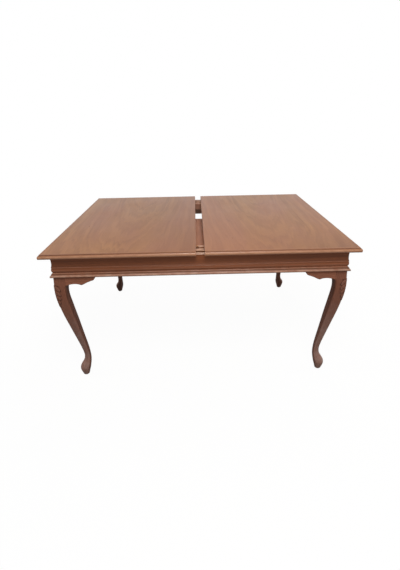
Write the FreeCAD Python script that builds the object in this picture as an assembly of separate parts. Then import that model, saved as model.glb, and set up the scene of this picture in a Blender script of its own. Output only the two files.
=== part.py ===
"""Extension dining table with a two-piece top, a folding butterfly leaf and cabriole legs.

Units are millimetres. Origin: centre of the footprint on the floor. +X runs along the table,
-Y is the front and +Z is up. Each piece is written to parts/NODE.step in its rest position.
"""
import os
import math
import FreeCAD
import Part

V = FreeCAD.Vector

# Top
table_height = 770.0
closed_length = 1450.0
top_width = 1050.0
top_thickness = 22.0
rest_gap = 40.0
lipping_width = 16.0
lipping_step = 3.5

# Frame
lip_overhang = 10.0
lip_projection = 15.5
apron_board = 23.5
apron_height = 99.5
slide_clearance = 0.5

# Legs
post_size = 44.0
post_play = 0.3
post_top_drop = 35.0
post_below_apron = 36.0
glide_height = 4.0
glide_diameter = 24.0
glide_pin_diameter = 4.0
glide_pin_length = 12.0

# Knee brackets
bracket_setback = 9.0
bracket_thickness = 25.0
bracket_length = 146.0
bracket_play = 0.3

# Corner braces and leg bolts
brace_inner = 72.0
brace_outer = 112.0
brace_height = 38.0
brace_rise = 5.0
post_chamfer = 70.0
bolt_diameter = 8.0
bolt_length = 96.0
bolt_play = 0.2
nut_diameter = 16.0
nut_height = 9.0
wing_span = 34.0
wing_thickness = 3.0
wing_height = 13.0

# Slides
rail_width = 24.0
rail_height = 44.0
rail_setback = 52.0
rail_end_gap = 54.0
rail_drop = 28.0
groove_depth = 8.0
groove_height = 10.0
groove_rise = 17.0
runner_width = 20.0
runner_height = 44.0
runner_overlap = 5.0
tongue_length = 7.5
tongue_play = 0.3
leaf_side_play = 10.0
stop_length = 24.0

# Bearers under the rails
bearer_width = 24.0
bearer_height = 44.0
inner_bearer_gap = 15.0
outer_bearer_gap = 136.0

# Wood screws
screw_diameter = 5.0
screw_length = 56.0
screw_head_diameter = 9.0
screw_head_height = 3.0
screw_play = 0.4

# Folding leaf
leaf_length = 450.0
leaf_face_gap = 0.5
pivot_share = 14.0 / 150.0

# Leaf hinges
hinge_length = 50.0
hinge_plate = 2.0
hinge_plate_height = 18.0
knuckle_diameter = 7.0
knuckle_middle = 19.6
knuckle_play = 0.2
hinge_pin_diameter = 3.0

# Leaf pivots
arm_width = 24.0
arm_thickness = 3.0
arm_edge = 3.0
arm_front_gap = 141.0
arm_tail = 20.0
pivot_diameter = 8.0
pivot_play = 0.2
pivot_head_diameter = 13.0
pivot_head_height = 3.0
lug_width = 28.0
lug_radius = 12.0
bracket_plate = 4.0
bracket_plate_width = 40.0
tab_length = 28.0
tab_reach = 14.0
rest_block_height = 38.0
rest_block_gap = 2.0

# Alignment pins
pin_diameter = 8.0
pin_reach = 12.0
pin_seat = 18.0
pin_edge_gap = 100.0
pin_play = 0.6

# Values that follow from the sizes above
top_underside = table_height - top_thickness
lip_x = closed_length / 2.0 - lip_overhang
lip_y = top_width / 2.0 - lip_overhang
apron_depth = lip_projection + apron_board
inner_x = lip_x - apron_depth
inner_y = lip_y - apron_depth
apron_top = top_underside - slide_clearance
apron_bottom = apron_top - apron_height
rail_top = table_height - rail_drop
rail_bottom = rail_top - rail_height
bearer_top = rail_bottom
bearer_bottom = bearer_top - bearer_height
half_length = closed_length / 2.0
half_gap = rest_gap / 2.0
half_width = top_width / 2.0
rail_length = 2.0 * (inner_x - rail_end_gap)
rail_centre = inner_y - rail_setback
open_travel = leaf_length / 2.0 + leaf_side_play - half_gap
runner_outer_end = rail_length / 2.0 - stop_length - slide_clearance - open_travel
runner_inner_end = open_travel + runner_overlap
inner_bearer_face = leaf_length / 2.0 + inner_bearer_gap
outer_bearer_face = inner_x - outer_bearer_gap
pin_spread = half_width - pin_edge_gap
hinge_spacing = leaf_length / 3.0
pivot_y = pivot_share * top_width
hinge_y = 2.0 * pivot_y
leaf_front = hinge_y - half_width
arm_front = leaf_front + arm_front_gap
arm_back = pivot_y + arm_tail
upper_back = rail_bottom
upper_face = upper_back - top_thickness
lower_face = upper_face - leaf_face_gap
lower_back = lower_face - top_thickness
fold_z = (upper_face + lower_face) / 2.0
pivot_z = (table_height + upper_face) / 2.0
leaf_edge = leaf_length / 2.0


def box(x0, x1, y0, y1, z0, z1):
    """Box between two corners given in any order."""
    low = V(min(x0, x1), min(y0, y1), min(z0, z1))
    return Part.makeBox(abs(x1 - x0), abs(y1 - y0), abs(z1 - z0), low)


def rod(diameter, start, end):
    """Round bar from one point to another."""
    run = end - start
    return Part.makeCylinder(diameter / 2.0, run.Length, start, run)


def prism(points, z0, z1):
    """Upright prism over a plan polygon given as (x, y) pairs."""
    outline = [V(x, y, z0) for x, y in points]
    outline.append(outline[0])
    return Part.Face(Part.makePolygon(outline)).extrude(V(0, 0, z1 - z0))


def flip_x(shape):
    """Mirror image to the other end of the table."""
    return shape.mirror(V(0, 0, 0), V(1, 0, 0))


def flip_y(shape):
    """Mirror image to the other long side of the table."""
    return shape.mirror(V(0, 0, 0), V(0, 1, 0))


def joined(shapes):
    """One solid made of shapes that overlap."""
    result = shapes[0]
    for shape in shapes[1:]:
        result = result.fuse(shape)
    return result.removeSplitter()


def save(name, shape):
    """Write one piece, or a group of identical pieces, to its own file."""
    shape.exportStep(os.path.join("parts", name + ".step"))


def curve_wire(steps):
    """Closed wire from a list of points, where a pair of points is an arc through the first."""
    edges = []
    here = steps[0]
    for step in steps[1:] + [steps[0]]:
        if isinstance(step, tuple):
            edges.append(Part.Arc(here, step[0], step[1]).toShape())
            here = step[1]
        elif (step - here).Length > 1e-6:
            edges.append(Part.LineSegment(here, step).toShape())
            here = step
    return Part.Wire(edges)


# Moulded outlines
def apron_profile(place):
    """Apron outline; place(out, up) gives a point, out from the inner face and up from the bottom."""
    full = apron_depth
    board = apron_board

    def at(out, share):
        return place(out, share * apron_height)

    steps = [
        at(0, 0),
        at(full - 3.0, 0),
        (at(full - 0.8, 0.009), at(full, 0.028)),
        at(full, 0.060),
        (at(full - 0.8, 0.085), at(full - 3.0, 0.105)),
        (at(full - 5.2, 0.125), at(full - 7.0, 0.158)),
        (at(full - 8.4, 0.186), at(full - 11.5, 0.206)),
        at(board + 1.0, 0.210),
        at(board + 1.0, 0.236),
        at(board + 3.3, 0.246),
        (at(board + 5.3, 0.335), at(board + 4.5, 0.432)),
        at(board + 3.1, 0.445),
        at(board + 3.1, 0.460),
        at(board + 4.1, 0.468),
        (at(board + 3.5, 0.515), at(board + 1.5, 0.563)),
        (at(board - 0.2, 0.700), at(board + 0.9, 1.0)),
        at(0, 1.0),
    ]
    return curve_wire(steps)


def edge_profile(place):
    """Lipping outline; place(out, up) gives a point, out from the panel and up from the underside."""
    full = lipping_width
    top = top_thickness
    shoulder = top - lipping_step
    steps = [
        place(0, 0),
        place(full - 4.5, 0),
        (place(full - 1.2, 1.8), place(full, 6.0)),
        place(full, 10.0),
        (place(full - 1.8, shoulder - 2.9), place(full - 6.0, shoulder)),
        place(full - 7.0, shoulder),
        place(full - 8.2, top),
        place(0, top),
    ]
    return curve_wire(steps)


# Aprons
def front_apron():
    """Front apron with the corners cut at 45 degrees."""
    reach = lip_x + 5.0
    wire = apron_profile(lambda out, up: V(-reach, -inner_y - out, apron_bottom + up))
    bar = Part.Face(wire).extrude(V(2.0 * reach, 0, 0))
    plan = [(-lip_x, -lip_y), (lip_x, -lip_y), (inner_x, -inner_y), (-inner_x, -inner_y)]
    return bar.common(prism(plan, apron_bottom - 1.0, apron_top + 1.0))


def left_apron():
    """End apron with the corners cut at 45 degrees."""
    reach = lip_y + 5.0
    wire = apron_profile(lambda out, up: V(-inner_x - out, -reach, apron_bottom + up))
    bar = Part.Face(wire).extrude(V(0, 2.0 * reach, 0))
    plan = [(-lip_x, -lip_y), (-inner_x, -inner_y), (-inner_x, inner_y), (-lip_x, lip_y)]
    return bar.common(prism(plan, apron_bottom - 1.0, apron_top + 1.0))


# Cabriole leg: share of its height, outer and inner face measured inwards from the lip, squareness
leg_sections = [
    (1.0, 9.0, 64.0, 9.0),
    (0.9659, 7.2, 63.8, 7.5),
    (0.9255, 4.0, 63.0, 5.5),
    (0.8882, 2.0, 59.2, 4.6),
    (0.8447, 1.1, 57.0, 4.2),
    (0.7935, 2.0, 58.2, 4.0),
    (0.7392, 4.5, 61.0, 3.8),
    (0.6770, 8.6, 64.0, 3.6),
    (0.6149, 13.6, 67.3, 3.4),
    (0.5373, 20.9, 70.8, 3.1),
    (0.4596, 28.3, 74.0, 2.9),
    (0.3820, 35.7, 77.3, 2.6),
    (0.3044, 42.8, 81.0, 2.3),
    (0.2344, 48.2, 83.2, 2.1),
    (0.1864, 49.3, 83.6, 2.0),
    (0.1553, 46.4, 83.2, 2.0),
    (0.1304, 39.8, 82.2, 2.0),
    (0.1087, 30.0, 80.8, 2.0),
    (0.0869, 22.2, 78.4, 2.0),
    (0.0668, 19.8, 75.4, 2.0),
    (0.0451, 21.6, 71.0, 2.0),
    (0.0217, 25.6, 66.0, 2.0),
    (0.0, 29.6, 62.0, 2.0),
]
foot_centre = (leg_sections[-1][1] + leg_sections[-1][2]) / 2.0


def leg_ring(share, outer, inner, square):
    """Closed smooth section of the leg at one share of its height."""
    level = glide_height + share * (apron_bottom - glide_height)
    middle = (outer + inner) / 2.0
    half = (inner - outer) / 2.0
    points = []
    for step in range(40):
        angle = 2.0 * math.pi * step / 40.0
        along = math.cos(angle)
        across = math.sin(angle)
        size = (abs(along) ** square + abs(across) ** square) ** (-1.0 / square)
        reach = half * size
        points.append(V(-lip_x + middle + reach * along, -lip_y + middle + reach * across, level))
    spline = Part.BSplineCurve()
    spline.interpolate(points, PeriodicFlag=True)
    return Part.Wire([spline.toShape()])


def corner_point(along, across, height):
    """Point measured inwards from the inner corner of the frame at the front left."""
    return V(-inner_x + along, -inner_y + across, height)


bolt_z = apron_bottom + brace_rise + brace_height / 2.0
bolt_near = 30.0


def diagonal_rod(diameter, near, length):
    """Bar along the diagonal of the front left corner; near is the sum of both distances at its start."""
    start = corner_point(near / 2.0, near / 2.0, bolt_z)
    run = V(1, 1, 0)
    run.normalize()
    return Part.makeCylinder(diameter / 2.0, length, start, run)


def front_left_leg():
    """Leg with its post inside the frame corner, bored for the leg bolt and the glide pin."""
    body = Part.makeLoft([leg_ring(*section) for section in leg_sections], True, False)
    post = box(
        -inner_x + post_play, -inner_x + post_play + post_size,
        -inner_y + post_play, -inner_y + post_play + post_size,
        apron_bottom - post_below_apron, table_height - post_top_drop,
    )
    far = post_play + post_size + 1.0
    near = post_chamfer - far
    corner = prism(
        [
            (-inner_x + near, -inner_y + far),
            (-inner_x + far, -inner_y + near),
            (-inner_x + 2.0 * far, -inner_y + 2.0 * far),
        ],
        apron_bottom, table_height,
    )
    leg = body.fuse(post.cut(corner)).removeSplitter()
    leg = leg.cut(diagonal_rod(bolt_diameter + bolt_play, bolt_near - 4.0, 60.0))
    foot = V(-lip_x + foot_centre, -lip_y + foot_centre, glide_height)
    socket = rod(glide_pin_diameter + 0.3, foot, foot + V(0, 0, glide_pin_length + 1.0))
    return leg.cut(socket)


def front_left_glide():
    """Round glide with a pin driven up into the foot."""
    floor = V(-lip_x + foot_centre, -lip_y + foot_centre, 0)
    disc = rod(glide_diameter, floor, floor + V(0, 0, glide_height))
    pin = rod(glide_pin_diameter, floor, floor + V(0, 0, glide_height + glide_pin_length))
    return joined([disc, pin])


def bracket_wire(place):
    """Scalloped outline; place(out, down) runs away from the leg and down from the apron."""
    steps = [
        place(0, 0),
        place(bracket_length, 0),
        (place(bracket_length - 4.0, 12.5), place(bracket_length - 13.0, 22.0)),
        (place(bracket_length - 33.0, 29.0), place(bracket_length - 51.0, 37.0)),
        (place(bracket_length - 62.0, 42.8), place(bracket_length - 74.0, 47.0)),
        (place(bracket_length - 82.0, 43.4), place(bracket_length - 91.0, 41.0)),
        (place(30.0, 39.8), place(0, 47.0)),
    ]
    return curve_wire(steps)


leg_face = leg_sections[0][2] + bracket_play


def front_bracket():
    """Knee bracket on the front, beside the front left leg."""
    def place(out, down):
        return V(-lip_x + leg_face + out, -lip_y + bracket_setback, apron_bottom - down)
    wire = bracket_wire(place)
    return Part.Face(wire).extrude(V(0, bracket_thickness, 0))


def side_bracket():
    """Knee bracket on the end, beside the front left leg."""
    def place(out, down):
        return V(-lip_x + bracket_setback, -lip_y + leg_face + out, apron_bottom - down)
    wire = bracket_wire(place)
    return Part.Face(wire).extrude(V(bracket_thickness, 0, 0))


# Corner brace, bolt and wing nut
def front_left_brace():
    """Diagonal block across the frame corner, bored for the leg bolt."""
    plan = [(0, brace_inner), (brace_inner, 0), (brace_outer, 0), (0, brace_outer)]
    points = [(-inner_x + along, -inner_y + across) for along, across in plan]
    block = prism(points, apron_bottom + brace_rise, apron_bottom + brace_rise + brace_height)
    return block.cut(diagonal_rod(bolt_diameter + 5.0 * bolt_play, brace_inner - 10.0, 60.0))


def front_left_bolt():
    """Headless leg bolt from the post through the brace."""
    return diagonal_rod(bolt_diameter, bolt_near, bolt_length)


def front_left_nut():
    """Wing nut pressed against the brace."""
    hub = diagonal_rod(nut_diameter, brace_outer, nut_height)
    middle = corner_point(brace_outer / 2.0, brace_outer / 2.0, bolt_z)
    low = V(2.0, -wing_thickness / 2.0, -wing_span / 2.0)
    wings = Part.makeBox(wing_height, wing_thickness, wing_span, low)
    wings.rotate(V(0, 0, 0), V(0, 0, 1), 45.0)
    wings.translate(middle)
    nut = joined([hub, wings])
    return nut.cut(diagonal_rod(bolt_diameter + bolt_play, brace_outer - 10.0, 60.0))


# Slides, measured on the front side
rail_front = -rail_centre - rail_width / 2.0
rail_back = -rail_centre + rail_width / 2.0
groove_low = rail_bottom + groove_rise


def front_rail():
    """Fixed rail with a groove along each side."""
    rail = box(-rail_length / 2.0, rail_length / 2.0, rail_front, rail_back, rail_bottom, rail_top)
    reach = rail_length
    for face, inward in ((rail_front, 1.0), (rail_back, -1.0)):
        groove = box(
            -reach, reach, face - inward, face + inward * groove_depth,
            groove_low, groove_low + groove_height,
        )
        rail = rail.cut(groove)
    return rail


def runner(outer_side):
    """Runner under the left half of the top, outside or inside the front rail."""
    if outer_side:
        near = rail_front - slide_clearance
        far = near - runner_width
        tip = near + tongue_length
    else:
        near = rail_back + slide_clearance
        far = near + runner_width
        tip = near - tongue_length
    body = box(-runner_outer_end, runner_inner_end, near, far, top_underside - runner_height, top_underside)
    tongue = box(
        -runner_outer_end, runner_inner_end, (near + far) / 2.0, tip,
        groove_low + tongue_play, groove_low + groove_height - tongue_play,
    )
    return joined([body, tongue])


def runner_middle(outer_side):
    """Middle line of a runner on the front side."""
    if outer_side:
        return rail_front - slide_clearance - runner_width / 2.0
    return rail_back + slide_clearance + runner_width / 2.0


runner_screws_x = [
    -runner_outer_end + 30.0,
    -(runner_outer_end + half_gap) / 2.0,
    -half_gap - 50.0,
]


def stop_block(outer_side):
    """Block at the left end of the front rail that ends the travel of a runner."""
    middle = runner_middle(outer_side)
    face = rail_front if outer_side else rail_back
    edge = middle - runner_width / 2.0 if outer_side else middle + runner_width / 2.0
    end = -runner_outer_end - open_travel - slide_clearance
    return box(end - stop_length, end, edge, face, rail_bottom, rail_top)


def wood_screw(x, y, head_z, scale):
    """Upright screw, head down; scale widens it to make its hole."""
    base = V(x, y, head_z)
    head = rod(screw_head_diameter + scale, base, base + V(0, 0, screw_head_height))
    shank = rod(screw_diameter + scale, base, base + V(0, 0, screw_length + scale))
    return joined([head, shank])


def bore_screws(shape, places, head_z):
    """Holes for screws driven upwards from below."""
    for x, y in places:
        shape = shape.cut(wood_screw(x, y, head_z, screw_play))
        well = rod(screw_head_diameter + screw_play, V(x, y, head_z - 40.0), V(x, y, head_z))
        shape = shape.cut(well)
    return shape


runner_head_z = top_underside - runner_height + 2.0
bearer_head_z = bearer_bottom + 8.0


# Folding leaf
def leaf_blank(low, high):
    """Plain half of the leaf between two heights."""
    return box(-leaf_edge, leaf_edge, leaf_front + lipping_width, hinge_y, low, high)


def leaf_moulding(low, upward):
    """Moulded front end of a leaf half, with its show face up or down."""
    def place(out, up):
        rise = low + up if upward else low + top_thickness - up
        return V(-leaf_edge, leaf_front + lipping_width - out, rise)
    return Part.Face(edge_profile(place)).extrude(V(leaf_length, 0, 0))


hinge_places = [-hinge_spacing, 0.0, hinge_spacing]


def hinge_recess(x):
    """Space cut from both leaf halves for one hinge."""
    half = hinge_length / 2.0 + knuckle_play
    width = knuckle_diameter + 2.0 * knuckle_play
    barrel = rod(width, V(x - half, hinge_y, fold_z), V(x + half, hinge_y, fold_z))
    height = hinge_plate_height + knuckle_play
    slot = box(
        x - half, x + half, hinge_y - hinge_plate - knuckle_play, hinge_y + 1.0,
        fold_z - height, fold_z + height,
    )
    return joined([barrel, slot])


def hinge_plates(upper):
    """Three hinge plates with their knuckles for the upper or the lower leaf half."""
    sign = 1.0 if upper else -1.0
    clear = knuckle_diameter / 2.0 + knuckle_play
    half = hinge_length / 2.0
    middle = knuckle_middle / 2.0
    if upper:
        spans = [(-half, -middle - knuckle_play), (middle + knuckle_play, half)]
    else:
        spans = [(-middle, middle)]
    plates = []
    for x in hinge_places:
        pieces = [
            box(
                x - half, x + half, hinge_y - hinge_plate, hinge_y,
                fold_z + sign * clear, fold_z + sign * hinge_plate_height,
            )
        ]
        for start, end in spans:
            pieces.append(box(
                x + start, x + end, hinge_y - hinge_plate, hinge_y,
                fold_z + sign * leaf_face_gap, fold_z + sign * (clear + 1.0),
            ))
            pieces.append(rod(knuckle_diameter, V(x + start, hinge_y, fold_z), V(x + end, hinge_y, fold_z)))
        plate = joined(pieces)
        bore = rod(
            hinge_pin_diameter + knuckle_play,
            V(x - hinge_length, hinge_y, fold_z), V(x + hinge_length, hinge_y, fold_z),
        )
        plates.append(plate.cut(bore))
    return Part.makeCompound(plates)


def left_swing_arm():
    """Steel strip under the upper leaf half with a pivot lug and a rest tab."""
    outer = -leaf_edge + arm_edge
    strip = box(outer, outer + arm_width, arm_front, arm_back, upper_back, upper_back + arm_thickness)
    upright = box(
        outer, outer + arm_thickness, pivot_y - lug_width / 2.0, pivot_y + lug_width / 2.0,
        upper_back, pivot_z,
    )
    crown = rod(lug_width, V(outer, pivot_y, pivot_z), V(outer + arm_thickness, pivot_y, pivot_z))
    tab = box(
        outer - tab_reach, outer + arm_width, arm_front, arm_front + tab_length,
        upper_back, upper_back + arm_thickness,
    )
    arm = joined([strip, upright, crown, tab])
    start = V(outer - 5.0, pivot_y, pivot_z)
    return arm.cut(rod(pivot_diameter + pivot_play, start, start + V(25.0, 0, 0)))


def left_pivot_pin():
    """Headed pin through the lug into the bracket on the bearer."""
    lug_inner = -leaf_edge + arm_edge + arm_thickness
    start = V(lug_inner, pivot_y, pivot_z)
    shank = rod(pivot_diameter, start, V(-inner_bearer_face + slide_clearance, pivot_y, pivot_z))
    head = rod(pivot_head_diameter, start, start + V(pivot_head_height, 0, 0))
    return joined([shank, head])


def left_pivot_bracket():
    """Upright plate on the inner bearer with the pivot hole at its rounded top."""
    outer = -inner_bearer_face
    inner = outer + bracket_plate
    plate = box(
        outer, inner, pivot_y - bracket_plate_width / 2.0, pivot_y + bracket_plate_width / 2.0,
        bearer_bottom + 4.0, bearer_top,
    )
    neck = box(outer, inner, pivot_y - lug_radius, pivot_y + lug_radius, bearer_top - 5.0, pivot_z)
    crown = rod(2.0 * lug_radius, V(outer, pivot_y, pivot_z), V(inner, pivot_y, pivot_z))
    bracket = joined([plate, neck, crown])
    start = V(outer - 5.0, pivot_y, pivot_z)
    return bracket.cut(rod(pivot_diameter + pivot_play, start, start + V(bracket_plate + 10.0, 0, 0)))


def left_rest_block():
    """Block on the inner bearer that carries the rest tab of the swing arm."""
    return box(
        -inner_bearer_face, -leaf_edge - rest_block_gap, arm_front - 2.0, arm_front + tab_length + 2.0,
        upper_back - rest_block_height, upper_back,
    )


def align_pin(edge, y, z):
    """Alignment pin that stands out to the right of an edge."""
    shank = rod(pin_diameter, V(edge - pin_seat, y, z), V(edge + pin_reach, y, z))
    ends = [line for line in shank.Edges if abs(line.CenterOfMass.x - edge - pin_reach) < 0.01]
    return shank.makeChamfer(1.5, ends)


def pin_hole(edge, y, z):
    """Hole in which an alignment pin is glued."""
    return rod(pin_diameter + 0.2, V(edge - pin_seat - 0.5, y, z), V(edge + 1.0, y, z))


def pin_socket(edge, y, z):
    """Socket open to the left of an edge, for an alignment pin."""
    return rod(pin_diameter + pin_play, V(edge - 1.0, y, z), V(edge + pin_reach + 2.0, y, z))


# Top halves
def left_panel():
    """Left veneered panel before boring."""
    side = half_width - lipping_width
    end = -half_length - half_gap + lipping_width
    return box(end, -half_gap, -side, side, top_underside, table_height)


def left_front_lipping():
    """Front lipping of the left half, cut at 45 degrees at the outer corner."""
    end = -half_length - half_gap
    side = half_width - lipping_width
    wire = edge_profile(lambda out, up: V(end - 5.0, -side - out, top_underside + up))
    bar = Part.Face(wire).extrude(V(-half_gap - end + 5.0, 0, 0))
    plan = [
        (end, -half_width), (-half_gap, -half_width),
        (-half_gap, -side), (end + lipping_width, -side),
    ]
    return bar.common(prism(plan, top_underside - 1.0, table_height + 1.0))


def left_end_lipping():
    """End lipping of the left half, cut at 45 degrees at both corners."""
    end = -half_length - half_gap
    side = half_width - lipping_width
    reach = half_width + 5.0
    wire = edge_profile(lambda out, up: V(end + lipping_width - out, -reach, top_underside + up))
    bar = Part.Face(wire).extrude(V(0, 2.0 * reach, 0))
    plan = [
        (end, -half_width), (end + lipping_width, -side),
        (end + lipping_width, side), (end, half_width),
    ]
    return bar.common(prism(plan, top_underside - 1.0, table_height + 1.0))


os.makedirs("parts", exist_ok=True)

# Frame pieces
apron = front_apron()
save("front_apron", apron)
save("back_apron", flip_y(apron))
apron = left_apron()
save("left_apron", apron)
save("right_apron", flip_x(apron))

leg = front_left_leg()
save("front_left_leg", leg)
save("front_right_leg", flip_x(leg))
save("back_left_leg", flip_y(leg))
save("back_right_leg", flip_x(flip_y(leg)))

bracket = front_bracket()
save("front_left_bracket", bracket)
save("front_right_bracket", flip_x(bracket))
save("back_left_bracket", flip_y(bracket))
save("back_right_bracket", flip_x(flip_y(bracket)))
bracket = side_bracket()
save("left_front_bracket", bracket)
save("right_front_bracket", flip_x(bracket))
save("left_back_bracket", flip_y(bracket))
save("right_back_bracket", flip_x(flip_y(bracket)))

brace = front_left_brace()
save("front_left_brace", brace)
save("front_right_brace", flip_x(brace))
save("back_left_brace", flip_y(brace))
save("back_right_brace", flip_x(flip_y(brace)))


def at_corners(shape):
    """The same piece at all four corners, as a group."""
    return Part.makeCompound([shape, flip_x(shape), flip_y(shape), flip_x(flip_y(shape))])


save("leg_bolts", at_corners(front_left_bolt()))
save("wing_nuts", at_corners(front_left_nut()))
save("foot_glides", at_corners(front_left_glide()))

# Slide rails and bearers
bearer_faces = [outer_bearer_face, inner_bearer_face]
rail_screws = []
for face in bearer_faces:
    for sign_x in (-1.0, 1.0):
        for sign_y in (-1.0, 1.0):
            rail_screws.append((sign_x * (face + bearer_width / 2.0), sign_y * rail_centre))
front_screws = [place for place in rail_screws if place[1] < 0]
rail = bore_screws(front_rail(), front_screws, bearer_head_z)
save("front_rail", rail)
save("back_rail", flip_y(rail))
for face, label in ((outer_bearer_face, "outer"), (inner_bearer_face, "inner")):
    bearer = box(-face - bearer_width, -face, -inner_y, inner_y, bearer_bottom, bearer_top)
    own = [place for place in rail_screws if abs(place[0] + face + bearer_width / 2.0) < 1.0]
    bearer = bore_screws(bearer, own, bearer_head_z)
    save("left_" + label + "_bearer", bearer)
    save("right_" + label + "_bearer", flip_x(bearer))


def screw_group(places, head_z):
    """The same screw at every place, as a group."""
    return Part.makeCompound([wood_screw(x, y, head_z, 0.0) for x, y in places])


save("rail_screws", screw_group(rail_screws, bearer_head_z))
stop_left = stop_block(True)
stop_right = flip_x(stop_block(False))
save("runner_stops", Part.makeCompound([stop_left, flip_y(stop_left), stop_right, flip_y(stop_right)]))

# Leaf supports on the frame
bracket = left_pivot_bracket()
save("left_pivot_bracket", bracket)
save("right_pivot_bracket", flip_x(bracket))
rest = left_rest_block()
save("left_rest_block", rest)
save("right_rest_block", flip_x(rest))

# Runners: outside the rails under the left half, inside them under the right half
outer_line = runner_middle(True)
inner_line = runner_middle(False)
left_screws = [(x, sign * outer_line) for x in runner_screws_x for sign in (1.0, -1.0)]
right_screws = [(-x, sign * inner_line) for x in runner_screws_x for sign in (1.0, -1.0)]
left_front_screws = [place for place in left_screws if place[1] < 0]
right_front_screws = [place for place in right_screws if place[1] < 0]
bar = bore_screws(runner(True), left_front_screws, runner_head_z)
save("left_front_runner", bar)
save("left_back_runner", flip_y(bar))
bar = bore_screws(flip_x(runner(False)), right_front_screws, runner_head_z)
save("right_front_runner", bar)
save("right_back_runner", flip_y(bar))
save("left_runner_screws", screw_group(left_screws, runner_head_z))
save("right_runner_screws", screw_group(right_screws, runner_head_z))

# Top panels, lippings and alignment pins
pin_z = table_height - top_thickness / 2.0
panel = bore_screws(left_panel(), left_screws, runner_head_z)
for y in (-pin_spread, pin_spread):
    panel = panel.cut(pin_hole(-half_gap, y, pin_z))
save("left_top_panel", panel)
panel = bore_screws(flip_x(left_panel()), right_screws, runner_head_z)
for y in (-pin_spread, pin_spread):
    panel = panel.cut(pin_socket(half_gap, y, pin_z))
save("right_top_panel", panel)
save("top_pins", Part.makeCompound([align_pin(-half_gap, y, pin_z) for y in (-pin_spread, pin_spread)]))
strip = left_front_lipping()
save("left_front_lipping", strip)
save("left_back_lipping", flip_y(strip))
save("right_front_lipping", flip_x(strip))
save("right_back_lipping", flip_x(flip_y(strip)))
strip = left_end_lipping()
save("left_end_lipping", strip)
save("right_end_lipping", flip_x(strip))

# Folding leaf: the upper half carries the pivots, the lower half folds down from it
leaf_pin_y = hinge_y - pin_spread
upper_pin_z = upper_back - top_thickness / 2.0
lower_pin_z = lower_back + top_thickness / 2.0
for label, low, pin_height, upward in (
    ("upper", upper_face, upper_pin_z, False),
    ("lower", lower_back, lower_pin_z, True),
):
    half = joined([leaf_blank(low, low + top_thickness), leaf_moulding(low, upward)])
    for x in hinge_places:
        half = half.cut(hinge_recess(x))
    half = half.cut(pin_hole(leaf_edge, leaf_pin_y, pin_height))
    half = half.cut(pin_socket(-leaf_edge, leaf_pin_y, pin_height))
    save("leaf_" + label + "_half", half)
    save("leaf_" + label + "_pin", align_pin(leaf_edge, leaf_pin_y, pin_height))
    save("leaf_" + label + "_hinges", hinge_plates(label == "upper"))
pins = []
for x in hinge_places:
    start = V(x - hinge_length / 2.0, hinge_y, fold_z)
    pins.append(rod(hinge_pin_diameter, start, start + V(hinge_length, 0, 0)))
save("leaf_hinge_pins", Part.makeCompound(pins))
arm = left_swing_arm()
save("left_swing_arm", arm)
save("right_swing_arm", flip_x(arm))
pin = left_pivot_pin()
save("pivot_pins", Part.makeCompound([pin, flip_x(pin)]))
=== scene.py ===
"""Looks of an extension dining table with a butterfly leaf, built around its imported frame.

Units are metres in the frame of the model: +X along the table, -Y the front, +Z up.
"""

import logging
import math
from dataclasses import dataclass, field, replace
from enum import Enum
from typing import Mapping, Optional, Sequence, Union

import bmesh
import bpy
import numpy as np
from mathutils import Matrix, Vector


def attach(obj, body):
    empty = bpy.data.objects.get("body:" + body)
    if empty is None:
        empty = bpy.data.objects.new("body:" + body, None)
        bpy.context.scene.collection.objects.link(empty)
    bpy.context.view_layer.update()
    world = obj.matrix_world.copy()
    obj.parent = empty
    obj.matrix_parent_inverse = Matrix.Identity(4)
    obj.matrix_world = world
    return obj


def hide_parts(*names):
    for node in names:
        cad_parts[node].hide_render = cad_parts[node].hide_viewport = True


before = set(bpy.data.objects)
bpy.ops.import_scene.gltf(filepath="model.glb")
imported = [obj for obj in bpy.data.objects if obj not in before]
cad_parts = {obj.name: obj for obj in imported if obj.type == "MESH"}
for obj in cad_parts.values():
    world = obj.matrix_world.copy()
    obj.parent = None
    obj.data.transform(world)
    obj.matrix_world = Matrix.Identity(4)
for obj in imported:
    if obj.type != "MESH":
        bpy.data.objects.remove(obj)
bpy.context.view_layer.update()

log = logging.getLogger("table")
Colour = tuple[float, float, float]
Point = tuple[float, float, float]
Pair = tuple[float, float]
Stops = tuple[Pair, ...]
Face = tuple[int, ...]
Socket = bpy.types.NodeSocket
Outputs = bpy.types.NodeOutputs
Material = bpy.types.Material
Mesh = bpy.types.Mesh
Thing = bpy.types.Object
Feed = Union[Socket, float, tuple]
Inputs = Mapping[Union[str, int], Feed]

MM = 0.001
WHITE = (1.0, 1.0, 1.0)
ENDS = {"left": -1.0, "right": 1.0}
SIDES = {"front": -1.0, "back": 1.0}
CORNERS = [(end, side) for end in ENDS for side in SIDES]
# Least part along Y of the normal of a face that looks to the front or the back
FACING = 0.7
# Spans of a noise that are drawn out over a whole range, from narrow to wide
NARROW = (0.35, 0.65)
MIDDLING = (0.32, 0.68)
EVEN = (0.3, 0.7)
WIDE = (0.25, 0.75)


def linear(red: int, green: int, blue: int) -> Colour:
    """Colour as the shaders take it, by the standard curve of screens.

    Args:
        red: red part as a screen shows it, from 0 to 255.
        green: green part.
        blue: blue part.

    Returns:
        The three parts on a linear scale.
    """
    parts = []
    for part in (red / 255.0, green / 255.0, blue / 255.0):
        parts.append(part / 12.92 if part <= 0.04045 else ((part + 0.055) / 1.055) ** 2.4)
    return (parts[0], parts[1], parts[2])


def bell(value: np.ndarray, width: float) -> np.ndarray:
    """Bump of height 1 about zero."""
    return np.exp(-((value / width) ** 2))


def smooth_step(low: float, high: float, value: np.ndarray) -> np.ndarray:
    """Rise from 0 at low to 1 at high with no kink."""
    share = np.clip((value - low) / (high - low), 0.0, 1.0)
    return share * share * (3.0 - 2.0 * share)


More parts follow.
